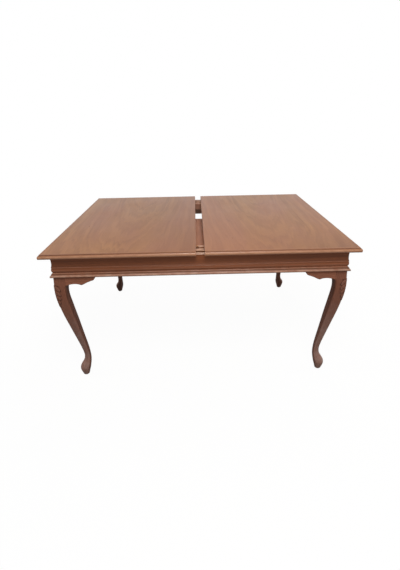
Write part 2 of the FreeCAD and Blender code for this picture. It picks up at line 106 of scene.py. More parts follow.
def between(rise: Pair, fall: Pair, value: np.ndarray) -> np.ndarray:
    """Rise from 0 to 1 over one span, and back to 0 over another."""
    return smooth_step(*rise, value) * (1.0 - smooth_step(*fall, value))


def smooth_through(places: np.ndarray, values: np.ndarray, wanted: np.ndarray) -> np.ndarray:
    """Natural cubic spline through known values.

    Args:
        places: rising places of the known values.
        values: the known values.
        wanted: places to read the spline at.

    Returns:
        The spline's values at the wanted places.
    """
    count = len(places)
    gaps = np.diff(places)
    slopes = np.diff(values) / gaps
    system = np.eye(count)
    right = np.zeros(count)
    for row in range(1, count - 1):
        system[row, row - 1:row + 2] = (gaps[row - 1], 2.0 * (gaps[row - 1] + gaps[row]), gaps[row])
        right[row] = 6.0 * (slopes[row] - slopes[row - 1])
    bend = np.linalg.solve(system, right)
    left = np.clip(np.searchsorted(places, wanted) - 1, 0, count - 2)
    gap = gaps[left]
    after = (wanted - places[left]) / gap
    before = 1.0 - after
    curve = (before ** 3 - before) * bend[left] + (after ** 3 - after) * bend[left + 1]
    return before * values[left] + after * values[left + 1] + curve * gap * gap / 6.0


def arc_through(first: Pair, middle: Pair, last: Pair, wanted: np.ndarray) -> np.ndarray:
    """Heights of the arc through three points.

    Args:
        first: one end of the arc.
        middle: a point on it.
        last: its other end.
        wanted: places to read the arc at.

    Returns:
        The arc's heights at the wanted places.
    """
    ends = np.array([middle, last]) - np.array(first)
    squares = np.sum(np.array([middle, last]) ** 2, axis=1) - np.sum(np.array(first) ** 2)
    centre = np.linalg.solve(2.0 * ends, squares)
    radius = np.linalg.norm(np.array(first) - centre)
    side = 1.0 if middle[1] > centre[1] else -1.0
    return centre[1] + side * np.sqrt(np.maximum(radius ** 2 - (wanted - centre[0]) ** 2, 0.0))


# Shader wiring and the effects that finishes share
class Wiring:
    """Short calls that add nodes to one tree and join them."""

    def __init__(self, tree: bpy.types.NodeTree) -> None:
        """Keep the tree that the nodes go into."""
        self.tree = tree

    @classmethod
    def fresh(cls, holder: Union[Material, bpy.types.World]) -> "Wiring":
        """Wiring of a material or a world that has no nodes yet.

        Args:
            holder: the material or the world.

        Returns:
            Its wiring.
        """
        holder.use_nodes = True
        holder.node_tree.nodes.clear()
        return cls(holder.node_tree)

    def feed(self, sockets: bpy.types.NodeInputs, values: Inputs) -> None:
        """Link other nodes' outputs to a node's sockets, or set the sockets' own values.

        Args:
            sockets: the node's inputs.
            values: an output or a value for each socket, by name or number.
        """
        for key, value in values.items():
            socket = sockets[key]
            if isinstance(value, Socket):
                self.tree.links.new(value, socket)
            elif socket.type == "RGBA" and len(value) == 3:
                socket.default_value = (*value, 1.0)
            else:
                socket.default_value = value

    def add(self, kind: str, inputs: Optional[Inputs] = None, **settings) -> bpy.types.Node:
        """Add one node.

        Args:
            kind: Blender's name for the kind of node.
            inputs: what feeds its sockets, by name or number.
            settings: the node's own properties.

        Returns:
            The node.
        """
        node = self.tree.nodes.new(kind)
        for name, value in settings.items():
            setattr(node, name, value)
        self.feed(node.inputs, inputs or {})
        return node

    def maths(self, operation: str, *values: Feed) -> Socket:
        """Output of a Math node."""
        return self.add("ShaderNodeMath", dict(enumerate(values)), operation=operation).outputs[0]

    def vector(self, operation: str, first: Feed, second: Feed) -> Socket:
        """Output of a Vector Math node with two vectors."""
        return self.add("ShaderNodeVectorMath", {0: first, 1: second}, operation=operation).outputs[0]

    def scaled(self, first: Feed, amount: Feed) -> Socket:
        """Vector or colour times a number."""
        return self.add("ShaderNodeVectorMath", {0: first, "Scale": amount}, operation="SCALE").outputs[0]

    def length(self, first: Feed) -> Socket:
        """Length of a vector."""
        return self.add("ShaderNodeVectorMath", {0: first}, operation="LENGTH").outputs["Value"]

    def noise(self, place: Feed, scale: float, detail: float) -> Socket:
        """Even noise between 0 and 1."""
        inputs = {"Vector": place, "Scale": scale, "Detail": detail}
        return self.add("ShaderNodeTexNoise", inputs).outputs["Fac"]

    def stretched(self, place: Feed, stretch: Point, detail: float) -> Socket:
        """Noise with its own number of cells in a metre along each axis."""
        return self.noise(self.vector("MULTIPLY", place, stretch), 1.0, detail)

    def drift(self, place: Feed, stretch: Point) -> Socket:
        """Slowly changing vector, even about zero.

        Args:
            place: where to read it.
            stretch: number of cells in a metre along each axis.

        Returns:
            The vector.
        """
        slow = self.vector("MULTIPLY", place, stretch)
        cloud = self.add("ShaderNodeTexNoise", {"Vector": slow, "Scale": 1.0, "Detail": 2.0})
        return self.vector("SUBTRACT", cloud.outputs["Color"], (0.5, 0.5, 0.5))

    def mix(self, share: Feed, first: Feed, second: Feed) -> Socket:
        """Mix of two colours."""
        return self.add("ShaderNodeMix", {0: share, 6: first, 7: second}, data_type="RGBA").outputs[2]

    def blend(self, share: Feed, first: Feed, second: Feed) -> Socket:
        """Mix of two shaders."""
        return self.add("ShaderNodeMixShader", {0: share, 1: first, 2: second}).outputs[0]

    def ranged(self, value: Feed, low: Feed, high: Feed, to_low: Feed, to_high: Feed) -> Socket:
        """Value moved from one range to another, held at its ends."""
        inputs = {"Value": value, "From Min": low, "From Max": high, "To Min": to_low, "To Max": to_high}
        return self.add("ShaderNodeMapRange", inputs, clamp=True).outputs["Result"]

    def ramp(self, value: Feed, stops: Stops) -> Socket:
        """Value read from a list of (place, level) stops.

        Args:
            value: where to read, from 0 to 1.
            stops: rising places and their levels.

        Returns:
            The level.
        """
        node = self.add("ShaderNodeValToRGB", {"Fac": value})
        points = node.color_ramp.elements
        while len(points) < len(stops):
            points.new(0.5)
        for point, (place, level) in zip(points, stops):
            point.position = place
            point.color = (level, level, level, 1.0)
        return self.add("ShaderNodeRGBToBW", {"Color": node.outputs["Color"]}).outputs[0]


class SharedEffect:
    """A shader node group with named inputs and outputs."""

    KINDS = {"value": "NodeSocketFloat", "colour": "NodeSocketColor", "vector": "NodeSocketVector"}

    def __init__(self, name: str, inputs: Mapping[str, str], outputs: Mapping[str, str]) -> None:
        """Make the empty group.

        Args:
            name: the group's name.
            inputs: kind of each named input.
            outputs: kind of each named output.
        """
        self.tree = bpy.data.node_groups.new(name, "ShaderNodeTree")
        for way, sockets in (("INPUT", inputs), ("OUTPUT", outputs)):
            for title, kind in sockets.items():
                self.tree.interface.new_socket(name=title, in_out=way, socket_type=self.KINDS[kind])
        self.wiring = Wiring(self.tree)
        self.source = self.wiring.add("NodeGroupInput").outputs
        self.result = self.wiring.add("NodeGroupOutput").inputs

    def use(self, wiring: Wiring, inputs: Inputs) -> Outputs:
        """Place the group in a material's wiring."""
        return wiring.add("ShaderNodeGroup", inputs, node_tree=self.tree).outputs


class TimberGrain(SharedEffect):
    """Growth rings, fibres and pores of solid wood, with the grain along the position's X."""

    DRIFT = (1.1, 7.0, 7.0)
    YEARS = (0.4, 22.0, 22.0)
    YEAR_CHANGE = 2.5
    RING = ((0.0, 0.2), (0.35, 0.75), (0.72, 1.0), (0.88, 0.25), (1.0, 0.2))
    RING_MIDDLE = 0.6
    FIBRES = (9.0, 420.0, 420.0)
    FIBRE_SHARE = 0.42
    FIBRE_HEIGHT = 0.35
    TONES = (1.6, 9.0, 9.0)
    TONE_SHARE = 0.55
    PORES = (70.0, 1900.0, 1900.0)
    PORE_SPAN = (0.62, 0.72)
    PORE_SHADE = 0.6

    def __init__(self) -> None:
        """Build the group."""
        super().__init__(
            "Timber grain",
            {
                "Position": "vector", "Pale": "colour", "Dark": "colour", "Ring Spacing": "value",
                "Wander": "value", "Ring Strength": "value", "Pore Strength": "value",
            },
            {"Color": "colour", "Pores": "value", "Height": "value"},
        )
        wiring, source = self.wiring, self.source
        place = source["Position"]
        wander = wiring.scaled(wiring.drift(place, self.DRIFT), source["Wander"])
        across = wiring.vector("MULTIPLY", wiring.vector("ADD", place, wander), (0.0, 1.0, 1.0))
        turns = wiring.maths("DIVIDE", wiring.length(across), source["Ring Spacing"])
        uneven = wiring.maths("MULTIPLY", wiring.stretched(place, self.YEARS, 1.0), self.YEAR_CHANGE)
        turns = wiring.maths("ADD", turns, uneven)
        ring = wiring.ramp(wiring.maths("FRACT", turns), self.RING)
        ring = wiring.maths("SUBTRACT", ring, self.RING_MIDDLE)
        level = wiring.maths("ADD", 0.5, wiring.maths("MULTIPLY", ring, source["Ring Strength"]))
        fibre = wiring.stretched(place, self.FIBRES, 3.0)
        tone = wiring.stretched(place, self.TONES, 2.0)
        for noise, share in ((fibre, self.FIBRE_SHARE), (tone, self.TONE_SHARE)):
            level = wiring.maths("MULTIPLY_ADD", wiring.ranged(noise, *WIDE, -0.5, 0.5), share, level)
        colour = wiring.mix(wiring.ranged(level, 0.0, 1.0, 0.0, 1.0), source["Dark"], source["Pale"])
        dashes = wiring.ranged(wiring.stretched(place, self.PORES, 1.0), *self.PORE_SPAN, 0.0, 1.0)
        pores = wiring.maths("MULTIPLY", dashes, source["Pore Strength"])
        shade = wiring.maths("SUBTRACT", 1.0, wiring.maths("MULTIPLY", pores, self.PORE_SHADE))
        height = wiring.maths("SUBTRACT", wiring.maths("MULTIPLY", fibre, self.FIBRE_HEIGHT), pores)
        wiring.feed(self.result, {"Color": wiring.scaled(colour, shade), "Pores": pores, "Height": height})


class CrownFigure(SharedEffect):
    """Arched figure of crown-cut veneer: a trunk's cone cut by a flat face, mirrored about X."""

    DRIFT = (3.2, 1.4, 1.0)
    WANDER = (0.14, 0.34, 0.0)
    JAGS = (66.0, 3.4, 1.0)
    JAG_DEPTH = 0.044
    LINE_CHANGE = 0.03
    BROAD = (24.0, 24.0, 1.0)
    BROAD_SHARE = 0.4
    FINE = (105.0, 105.0, 1.0)
    FINE_SHARE = 0.42
    YEAR = ((0.0, 0.2), (0.3, 0.5), (0.7, 0.75), (0.9, 0.7), (1.0, 0.2))
    YEAR_WIDTH = 0.034
    YEAR_CHANGE = 2.0
    YEAR_SHARE = 0.18
    CAST = (4.5, 1.7, 1.0)
    INNER_SPAN = (0.0, 0.32)
    INNER_CAST = (0.3, -0.05)

    def __init__(self) -> None:
        """Build the group."""
        super().__init__(
            "Crown figure",
            {"Position": "vector", "Centre": "value", "Depth": "value", "Lean": "value"},
            {"Figure": "value", "Cast": "value"},
        )
        wiring, source = self.wiring, self.source
        place = source["Position"]
        wander = wiring.vector("MULTIPLY", wiring.drift(place, self.DRIFT), self.WANDER)
        moved = wiring.vector("ADD", place, wander)
        parts = wiring.add("ShaderNodeSeparateXYZ", {0: moved}).outputs
        mirrored = wiring.maths("ABSOLUTE", parts["X"])
        side = wiring.maths("SUBTRACT", mirrored, source["Centre"])
        lean = wiring.maths("MULTIPLY", parts["Y"], source["Lean"])
        depth = wiring.maths("SUBTRACT", source["Depth"], lean)
        squares = [wiring.maths("MULTIPLY", part, part) for part in (side, depth)]
        radius = wiring.maths("SQRT", wiring.maths("ADD", *squares))
        jagged = wiring.stretched(place, self.JAGS, 3.0)
        radius = wiring.maths("MULTIPLY_ADD", jagged, self.JAG_DEPTH, radius)
        along = wiring.maths("MULTIPLY", parts["Y"], self.LINE_CHANGE)
        lines = wiring.add("ShaderNodeCombineXYZ", {"X": radius, "Y": along}).outputs[0]
        broad = wiring.stretched(lines, self.BROAD, 1.5)
        fine = wiring.stretched(lines, self.FINE, 3.0)
        years = wiring.maths("DIVIDE", radius, self.YEAR_WIDTH)
        years = wiring.maths("MULTIPLY_ADD", broad, self.YEAR_CHANGE, years)
        year = wiring.ramp(wiring.maths("FRACT", years), self.YEAR)
        figure = wiring.maths("MULTIPLY", broad, self.BROAD_SHARE)
        figure = wiring.maths("MULTIPLY_ADD", fine, self.FINE_SHARE, figure)
        figure = wiring.maths("MULTIPLY_ADD", year, self.YEAR_SHARE, figure)
        inner = wiring.ranged(mirrored, *self.INNER_SPAN, *self.INNER_CAST)
        cast = wiring.maths("ADD", wiring.stretched(moved, self.CAST, 2.0), inner)
        wiring.feed(self.result, {
            "Figure": wiring.ranged(figure, *MIDDLING, 0.0, 1.0),
            "Cast": wiring.ranged(cast, *NARROW, 0.0, 1.0),
        })


class StainRubAndPaintedLight(SharedEffect):
    """Dark stain and painted shade in hollows, and paler wood where an edge is rubbed or a painted highlight
    falls.
    """

    PATCHES = 34.0
    PATCHY = (0.45, 1.0)
    STAIN_SPAN = (0.4, 1.0)
    STAIN_KEPT = (0.75, 1.0)

    def __init__(self) -> None:
        """Build the group."""
        super().__init__(
            "Hollow stain and rubbed edge",
            {
                "Color": "colour", "Stain": "value", "Stain Color": "colour",
                "Rub": "value", "Rub Color": "colour", "Position": "vector",
            },
            {"Color": "colour"},
        )
        wiring, source = self.wiring, self.source
        patches = wiring.noise(source["Position"], self.PATCHES, 3.0)
        patchy = wiring.ranged(patches, *MIDDLING, *self.PATCHY)
        kept = wiring.ranged(patchy, *self.STAIN_SPAN, *self.STAIN_KEPT)
        # The stain mask also lays painted shade, and the rub mask painted highlights
        stain = wiring.maths("MULTIPLY", source["Stain"], kept)
        rub_and_highlight = wiring.maths("MULTIPLY", source["Rub"], patchy)
        stained = wiring.mix(stain, source["Color"], source["Stain Color"])
        wiring.feed(self.result, {"Color": wiring.mix(rub_and_highlight, stained, source["Rub Color"])})


class LacquerFilm(SharedEffect):
    """Uneven gloss and slight ripple of a sprayed and wiped lacquer."""

    CLOUDS = 5.0
    CLOUD_SHARE = 0.65
    WIPES = (60.0, 4.0, 60.0)
    WIPE_SHARE = 0.35
    RIPPLES = 190.0

    def __init__(self) -> None:
        """Build the group."""
        super().__init__(
            "Lacquer film",
            {"Position": "vector", "Smooth": "value", "Dull": "value"},
            {"Roughness": "value", "Ripple": "value"},
        )
        wiring, source = self.wiring, self.source
        place = source["Position"]
        cloudy = wiring.maths("MULTIPLY", wiring.noise(place, self.CLOUDS, 4.0), self.CLOUD_SHARE)
        wiped = wiring.stretched(place, self.WIPES, 2.0)
        both = wiring.maths("MULTIPLY_ADD", wiped, self.WIPE_SHARE, cloudy)
        wiring.feed(self.result, {
            "Roughness": wiring.ranged(both, *EVEN, source["Smooth"], source["Dull"]),
            "Ripple": wiring.noise(place, self.RIPPLES, 1.0),
        })


# Finishes
class Grain(Enum):
    """Direction in which the wood of a piece grows, as the turn that brings it to X."""

    ALONG_X = (0.0, 0.0, 0.0)
    ALONG_Y = (0.0, 0.0, -math.pi / 2.0)
    ALONG_Z = (0.0, math.pi / 2.0, 0.0)


@dataclass(frozen=True)
class Moulding:
    """Painted shade and highlights of a moulded piece, with some stain and rubbing, as stops of share
    of the height and amount. The stain stops paint shade under steps and in quirks, the rub stops
    paint highlights on edges that face the light.

    If inside is given, it holds the half sizes of a space round the middle of the table. Faces
    within it are left bare: they have no stain or painted shade and count as rubbed by the amount of bare.
    """

    heights: Pair
    stain: Stops
    rub_and_highlight: Stops
    inside: Optional[Pair] = None
    bare: float = 0.0


# Stain stops paint the shade under the top's overhang, under the bead and in the grooves, with some stain;
# rub stops paint highlights on the lip, the bead and the apron's top face, with some wear
APRON_MOULDING = Moulding(
    heights=(0.648, 0.7475),
    stain=(
        (0.0, 0.6), (0.035, 0.42), (0.06, 0.0), (0.10, 0.1), (0.14, 0.62), (0.17, 0.72), (0.185, 0.22),
        (0.205, 0.1), (0.225, 0.26), (0.265, 0.4), (0.3, 0.13), (0.4, 0.08), (0.425, 0.26), (0.443, 0.44),
        (0.458, 0.3), (0.472, 0.03), (0.502, 0.05), (0.518, 0.5), (0.545, 0.54), (0.58, 0.47), (0.64, 0.4),
        (0.74, 0.35), (0.86, 0.15), (0.99, 0.1), (1.0, 0.0),
    ),
    rub_and_highlight=(
        (0.0, 0.0), (0.03, 0.14), (0.065, 0.6), (0.10, 0.42), (0.135, 0.08), (0.165, 0.0), (0.19, 0.22),
        (0.215, 0.16), (0.24, 0.0), (0.335, 0.1), (0.41, 0.0), (0.462, 0.0), (0.478, 0.15), (0.497, 0.15),
        (0.51, 0.0), (0.99, 0.0), (1.0, 1.0),
    ),
    inside=(0.6765, 0.4765),
    bare=0.6,
)
# Stain stops paint the shade under the rounded nose and in the quirk; rub stops paint the nose's highlight
EDGE_MOULDING = Moulding(
    heights=(0.748, 0.770),
    stain=(
        (0.0, 0.55), (0.22, 0.32), (0.4, 0.05), (0.7, 0.0), (0.81, 0.1), (0.845, 0.7), (0.93, 0.6),
        (0.985, 0.05), (1.0, 0.0),
    ),
    rub_and_highlight=(
        (0.0, 0.0), (0.2, 0.0), (0.3, 0.12), (0.42, 0.5), (0.5, 0.7), (0.64, 0.5), (0.76, 0.1),
        (0.84, 0.0), (1.0, 0.0),
    ),
)


class Hollows(Enum):
    """Where the stain and painted shade gather: nowhere, by a mesh's two masks, or by the heights of a
    moulding.
    """

    NONE = None
    # The carving's hollow mask also holds the painted shade of the legs' inner faces
    CARVING = ("hollow", "rubbed")
    APRON = APRON_MOULDING
    EDGE = EDGE_MOULDING


@dataclass(frozen=True, kw_only=True)
class TimberFinish:
    """Colours, grain and gloss of a wood, with a coat of lacquer or without."""

    pale: Colour
    dark: Colour
    ring_spacing: float = 0.0075
    wander: float = 0.012
    ring_strength: float = 0.55
    pore_strength: float = 0.7
    smooth: float = 0.36
    dull: float = 0.5
    coat: float = 0.12
    bump: float = 0.12
    gloss: float = 0.3


@dataclass(frozen=True, kw_only=True)
class WoodFinish(TimberFinish):
    """Wood with stain and painted shade in its hollows, and rubbed edges and painted highlights."""

    # stain is also the colour of painted shade, and rubbed the colour of painted highlights
    stain: Colour
    rubbed: Colour


@dataclass(frozen=True, kw_only=True)
class VeneerFinish(TimberFinish):
    """Crown-cut veneer under lacquer, darker towards one place."""

    name: str
    rosy: Colour
    centre: float
    depth: float
    lean: float
    pith: Point = (0.0, 0.4, 0.9)
    figure_share: float = 0.78
    rosy_share: float = 0.45
    darkening_at: Point = (0.0, 0.0, 0.0)
    darkening_reach: Pair = (1.0, 1.0)
    darkening: float = 0.0
    ring_spacing: float = 0.05
    wander: float = 0.02
    ring_strength: float = 0.0
    pore_strength: float = 0.4
    smooth: float = 0.27
    dull: float = 0.36
    bump: float = 0.05


@dataclass(frozen=True)
class MetalFinish:
    """Metal or nylon with a brushed or tarnished surface."""

    name: str
    bright: Colour
    dull: Colour
    smooth: float
    rough: float
    metallic: float = 1.0


@dataclass(frozen=True)
class Board:
    """A finish and the way its wood was cut; one with hollows has a WoodFinish.

    The pith is the place of the tree's middle, from the grain's own axes.
    """

    name: str
    finish: Union[TimberFinish, WoodFinish]
    grain: Grain
    pith: Point
    hollows: Hollows = Hollows.NONE


Recipe = Union[Board, VeneerFinish, MetalFinish]

TOP_VENEER = VeneerFinish(
    name="top veneer", pale=linear(183, 132, 88), dark=linear(135, 89, 59), rosy=linear(162, 109, 92),
    centre=0.385, depth=0.13, lean=0.17, coat=0.1, gloss=0.42,
)
# The right half is darkened towards its front corner as painted shade, where the light falls off; the left
# half is darker along a band by the middle
HALF_VENEERS = {
    "left": replace(
        TOP_VENEER, name="left top veneer", darkening_at=(0.0, -0.5, 0.0), darkening_reach=(0.5, 1.7), darkening=0.19,
    ),
    "right": replace(
        TOP_VENEER, name="right top veneer", darkening_at=(0.76, -0.56, 0.0), darkening_reach=(0.62, 0.34),
        darkening=0.24,
    ),
}
LEAF_VENEER = VeneerFinish(
    name="leaf veneer", pale=linear(208, 144, 108), dark=linear(170, 112, 82), rosy=linear(190, 124, 98),
    centre=0.03, depth=0.11, lean=0.12, coat=0.0, gloss=0.2,
)
# On the lippings and the aprons, the stain colour paints shade and the rubbed colour paints highlights, with
# some real stain and wear
EDGE_WOOD = WoodFinish(
    pale=linear(168, 115, 83), dark=linear(140, 92, 64), stain=linear(72, 40, 24),
    rubbed=linear(206, 156, 124), smooth=0.3, dull=0.4, coat=0.2, gloss=0.45,
)
FRAME_WOOD = WoodFinish(
    pale=linear(144, 83, 50), dark=linear(112, 62, 36), stain=linear(54, 27, 15),
    rubbed=linear(212, 178, 158), gloss=0.25,
)
# Its stain colour also paints the shade on the legs' inner faces
LEG_WOOD = WoodFinish(
    pale=linear(142, 93, 73), dark=linear(110, 70, 56), stain=linear(46, 26, 20),
    rubbed=linear(152, 128, 121), smooth=0.45, dull=0.6, coat=0.0, gloss=0.08,
)
BRACKET_WOOD = replace(LEG_WOOD, pale=linear(153, 100, 78), dark=linear(120, 76, 59))
INNER_WOOD = TimberFinish(
    pale=linear(206, 164, 140), dark=linear(172, 130, 104), smooth=0.55, dull=0.72, coat=0.0, bump=0.3,
)
# Upright faces of the runners: dark wax and painted shade, darker on the front pair and lighter on the back
# pair
WAXED_AND_SHADED_WOOD = TimberFinish(
    pale=linear(134, 90, 64), dark=linear(98, 64, 44), smooth=0.4, dull=0.6, coat=0.0, bump=0.2,
)
WAXED_LESS_SHADED_WOOD = replace(WAXED_AND_SHADED_WOOD, pale=linear(186, 136, 112), dark=linear(146, 102, 82))

EDGE_ALONG = Board("edge along", EDGE_WOOD, Grain.ALONG_X, (0.2, 0.31, -0.70), Hollows.EDGE)
EDGE_ACROSS = Board("edge across", EDGE_WOOD, Grain.ALONG_Y, (0.5, 0.44, -0.71), Hollows.EDGE)
APRON_ALONG = Board("apron along", FRAME_WOOD, Grain.ALONG_X, (0.1, 0.33, -0.55), Hollows.APRON)
APRON_ACROSS = Board("apron across", FRAME_WOOD, Grain.ALONG_Y, (0.3, 0.5, -0.56), Hollows.APRON)
CARVED_LEG = Board("carved leg wood", LEG_WOOD, Grain.ALONG_Z, (0.0, 0.35, 0.40), Hollows.CARVING)
BRACKET_ALONG = Board("bracket along", BRACKET_WOOD, Grain.ALONG_X, (0.7, 0.3, -0.45))
BRACKET_ACROSS = Board("bracket across", BRACKET_WOOD, Grain.ALONG_Y, (0.9, 0.55, -0.46))
INNER_ALONG = Board("inner wood along", INNER_WOOD, Grain.ALONG_X, (0.0, 0.21, -0.55))
INNER_ACROSS = Board("inner wood across", INNER_WOOD, Grain.ALONG_Y, (0.2, 0.35, -0.52))
# Painted shade on the runners' upright faces, darker at the front than at the back
SLIDES = {
    "front": replace(INNER_ALONG, name="waxed slide wood in painted shade", finish=WAXED_AND_SHADED_WOOD),
    "back": replace(INNER_ALONG, name="slide wood in lighter painted shade", finish=WAXED_LESS_SHADED_WOOD),
}
ZINC = MetalFinish("zinc steel", linear(196, 198, 200), linear(150, 152, 156), 0.28, 0.45)
DARK_STEEL = MetalFinish("dark steel", linear(92, 90, 88), linear(58, 55, 54), 0.35, 0.55)
BRASS = MetalFinish("brass", linear(178, 142, 84), linear(122, 90, 50), 0.3, 0.46)
OLD_BRASS = MetalFinish("old brass", linear(190, 148, 116), linear(156, 114, 84), 0.42, 0.6)
NYLON = MetalFinish("nylon", linear(88, 82, 76), linear(62, 58, 54), 0.45, 0.6, 0.0)


@dataclass(frozen=True)
class Canvas:
    """A material in the making: its wiring, its shader's inputs and the object coordinates."""

    wiring: Wiring
    shader: bpy.types.NodeInputs
    place: Socket


class Paint:
    """Makes the materials, each once."""

    PORE_ROUGHNESS = 0.12
    RIPPLE_HEIGHT = 0.25
    RELIEF = 0.0004
    COAT_ROUGHNESS = 0.22
    BLOTCHES = 60.0
    BLOTCH_SHARE = 0.6
    BRUSHING = (120.0, 1400.0, 900.0)
    BRUSHED_SHARE = 0.4
    SCRATCH_STRENGTH = 0.15
    SCRATCH_DEPTH = 0.0002

    def __init__(self) -> None:
        """Build the shared effects."""
        self.timber = TimberGrain()
        self.crown = CrownFigure()
        self.stain_rub_and_light = StainRubAndPaintedLight()
        self.lacquer = LacquerFilm()
        self.made: dict[str, Material] = {}

    def of(self, recipe: Recipe) -> Material:
        """Material of a recipe, made on its first use.

        Args:
            recipe: a board, a veneer or a metal.

        Returns:
            The material, which has the recipe's name.
        """
        if recipe.name not in self.made:
            material = bpy.data.materials.new(recipe.name)
            wiring = Wiring.fresh(material)
            shader = wiring.add("ShaderNodeBsdfPrincipled")
            wiring.add("ShaderNodeOutputMaterial", {"Surface": shader.outputs[0]})
            place = wiring.add("ShaderNodeTexCoord").outputs["Object"]
            makers = {Board: self.wood, VeneerFinish: self.veneer, MetalFinish: self.metal}
            makers[type(recipe)](Canvas(wiring, shader.inputs, place), recipe)
            self.made[recipe.name] = material
        return self.made[recipe.name]

    def grained(self, canvas: Canvas, finish: TimberFinish, grain: Grain, pith: Point) -> Outputs:
        """Grain of a piece of wood.

        Args:
            canvas: the material in the making.
            finish: the wood's finish.
            grain: direction of the grain.
            pith: place of the tree's middle, from the grain's own axes.

        Returns:
            The outputs of the timber effect.
        """
        inputs = {"Vector": canvas.place, "Location": pith, "Rotation": grain.value}
        return self.timber.use(canvas.wiring, {
            "Position": canvas.wiring.add("ShaderNodeMapping", inputs).outputs[0],
            "Pale": finish.pale, "Dark": finish.dark, "Ring Spacing": finish.ring_spacing,
            "Wander": finish.wander, "Ring Strength": finish.ring_strength,
            "Pore Strength": finish.pore_strength,
        })

    def film(self, canvas: Canvas, finish: TimberFinish, timber: Outputs, colour: Socket) -> None:
        """Feed the shader with the wood's colour, the lacquer's gloss and the grain's relief.

        Args:
            canvas: the material in the making.
            finish: the wood's finish.
            timber: outputs of the timber effect.
            colour: the wood's colour.
        """
        wiring = canvas.wiring
        film = self.lacquer.use(
            wiring, {"Position": canvas.place, "Smooth": finish.smooth, "Dull": finish.dull},
        )
        rough = wiring.maths("MULTIPLY_ADD", timber["Pores"], self.PORE_ROUGHNESS, film["Roughness"])
        height = wiring.maths("MULTIPLY_ADD", film["Ripple"], self.RIPPLE_HEIGHT, timber["Height"])
        bump = wiring.add("ShaderNodeBump", {
            "Strength": finish.bump, "Distance": self.RELIEF, "Height": height,
        })
        wiring.feed(canvas.shader, {
            "Base Color": colour, "Roughness": rough, "Normal": bump.outputs[0], "Coat Weight": finish.coat,
            "Coat Roughness": self.COAT_ROUGHNESS, "Specular IOR Level": finish.gloss,
        })

    @staticmethod
    def hollow_masks(canvas: Canvas, hollows: Hollows) -> tuple[Socket, Socket]:
        """Masks of stain and painted shade, and of rubbing and painted highlights.

        Args:
            canvas: the material in the making.
            hollows: where the stain and painted shade gather.

        Returns:
            The mask of stain and painted shade, and the mask of rubbing and painted highlights.
        """
        wiring = canvas.wiring
        if hollows is Hollows.CARVING:
            masks = [wiring.add("ShaderNodeAttribute", attribute_name=name) for name in hollows.value]
            return masks[0].outputs["Fac"], masks[1].outputs["Fac"]
        moulding = hollows.value
        axes = wiring.add("ShaderNodeSeparateXYZ", {0: canvas.place}).outputs
        share = wiring.ranged(axes["Z"], *moulding.heights, 0.0, 1.0)
        # By height: painted shade with some stain, and painted highlights with some rubbing
        stain = wiring.ramp(share, moulding.stain)
        rub_and_highlight = wiring.ramp(share, moulding.rub_and_highlight)
        if moulding.inside is None:
            return stain, rub_and_highlight
        bare: Feed = 1.0
        for axis, limit in zip("XY", moulding.inside):
            within = wiring.maths("LESS_THAN", wiring.maths("ABSOLUTE", axes[axis]), limit)
            bare = wiring.maths("MULTIPLY", within, bare)
        shown = wiring.maths("SUBTRACT", 1.0, bare)
        rub_and_highlight = wiring.maths("MULTIPLY_ADD", bare, moulding.bare, wiring.maths("MULTIPLY", rub_and_highlight, shown))
        return wiring.maths("MULTIPLY", stain, shown), rub_and_highlight

    def wood(self, canvas: Canvas, board: Board) -> None:
        """Wire the material of a solid wooden piece.

        Args:
            canvas: the material in the making.
            board: its finish and cut.
        """
        finish = board.finish
        timber = self.grained(canvas, finish, board.grain, board.pith)
        colour = timber["Color"]
        if board.hollows is not Hollows.NONE:
            # Stain and painted shade darken the hollows, rubbing and painted highlights lighten the edges
            stain, rub_and_highlight = self.hollow_masks(canvas, board.hollows)
            colour = self.stain_rub_and_light.use(canvas.wiring, {
                "Color": colour, "Stain": stain, "Stain Color": finish.stain, "Rub": rub_and_highlight,
                "Rub Color": finish.rubbed, "Position": canvas.place,
            })["Color"]
        self.film(canvas, finish, timber, colour)

    def veneer(self, canvas: Canvas, finish: VeneerFinish) -> None:
        """Wire the material of a veneered board.

        Args:
            canvas: the material in the making.
            finish: its colours and figure.
        """
        wiring = canvas.wiring
        crown = self.crown.use(wiring, {
            "Position": canvas.place, "Centre": finish.centre, "Depth": finish.depth, "Lean": finish.lean,
        })
        timber = self.grained(canvas, finish, Grain.ALONG_Y, finish.pith)
        figured = wiring.mix(crown["Figure"], finish.dark, finish.pale)
        blended = wiring.mix(finish.figure_share, timber["Color"], figured)
        cast = wiring.maths("MULTIPLY", crown["Cast"], finish.rosy_share)
        colour = wiring.mix(cast, blended, finish.rosy)
        # Darker towards one place, which on the right half of the top is painted shade
        scale = (1.0 / finish.darkening_reach[0], 1.0 / finish.darkening_reach[1], 0.0)
        away = wiring.vector("MULTIPLY", wiring.vector("SUBTRACT", canvas.place, finish.darkening_at), scale)
        tone = wiring.ranged(wiring.length(away), 0.0, 1.0, 1.0 - finish.darkening, 1.0)
        self.film(canvas, finish, timber, wiring.scaled(colour, tone))

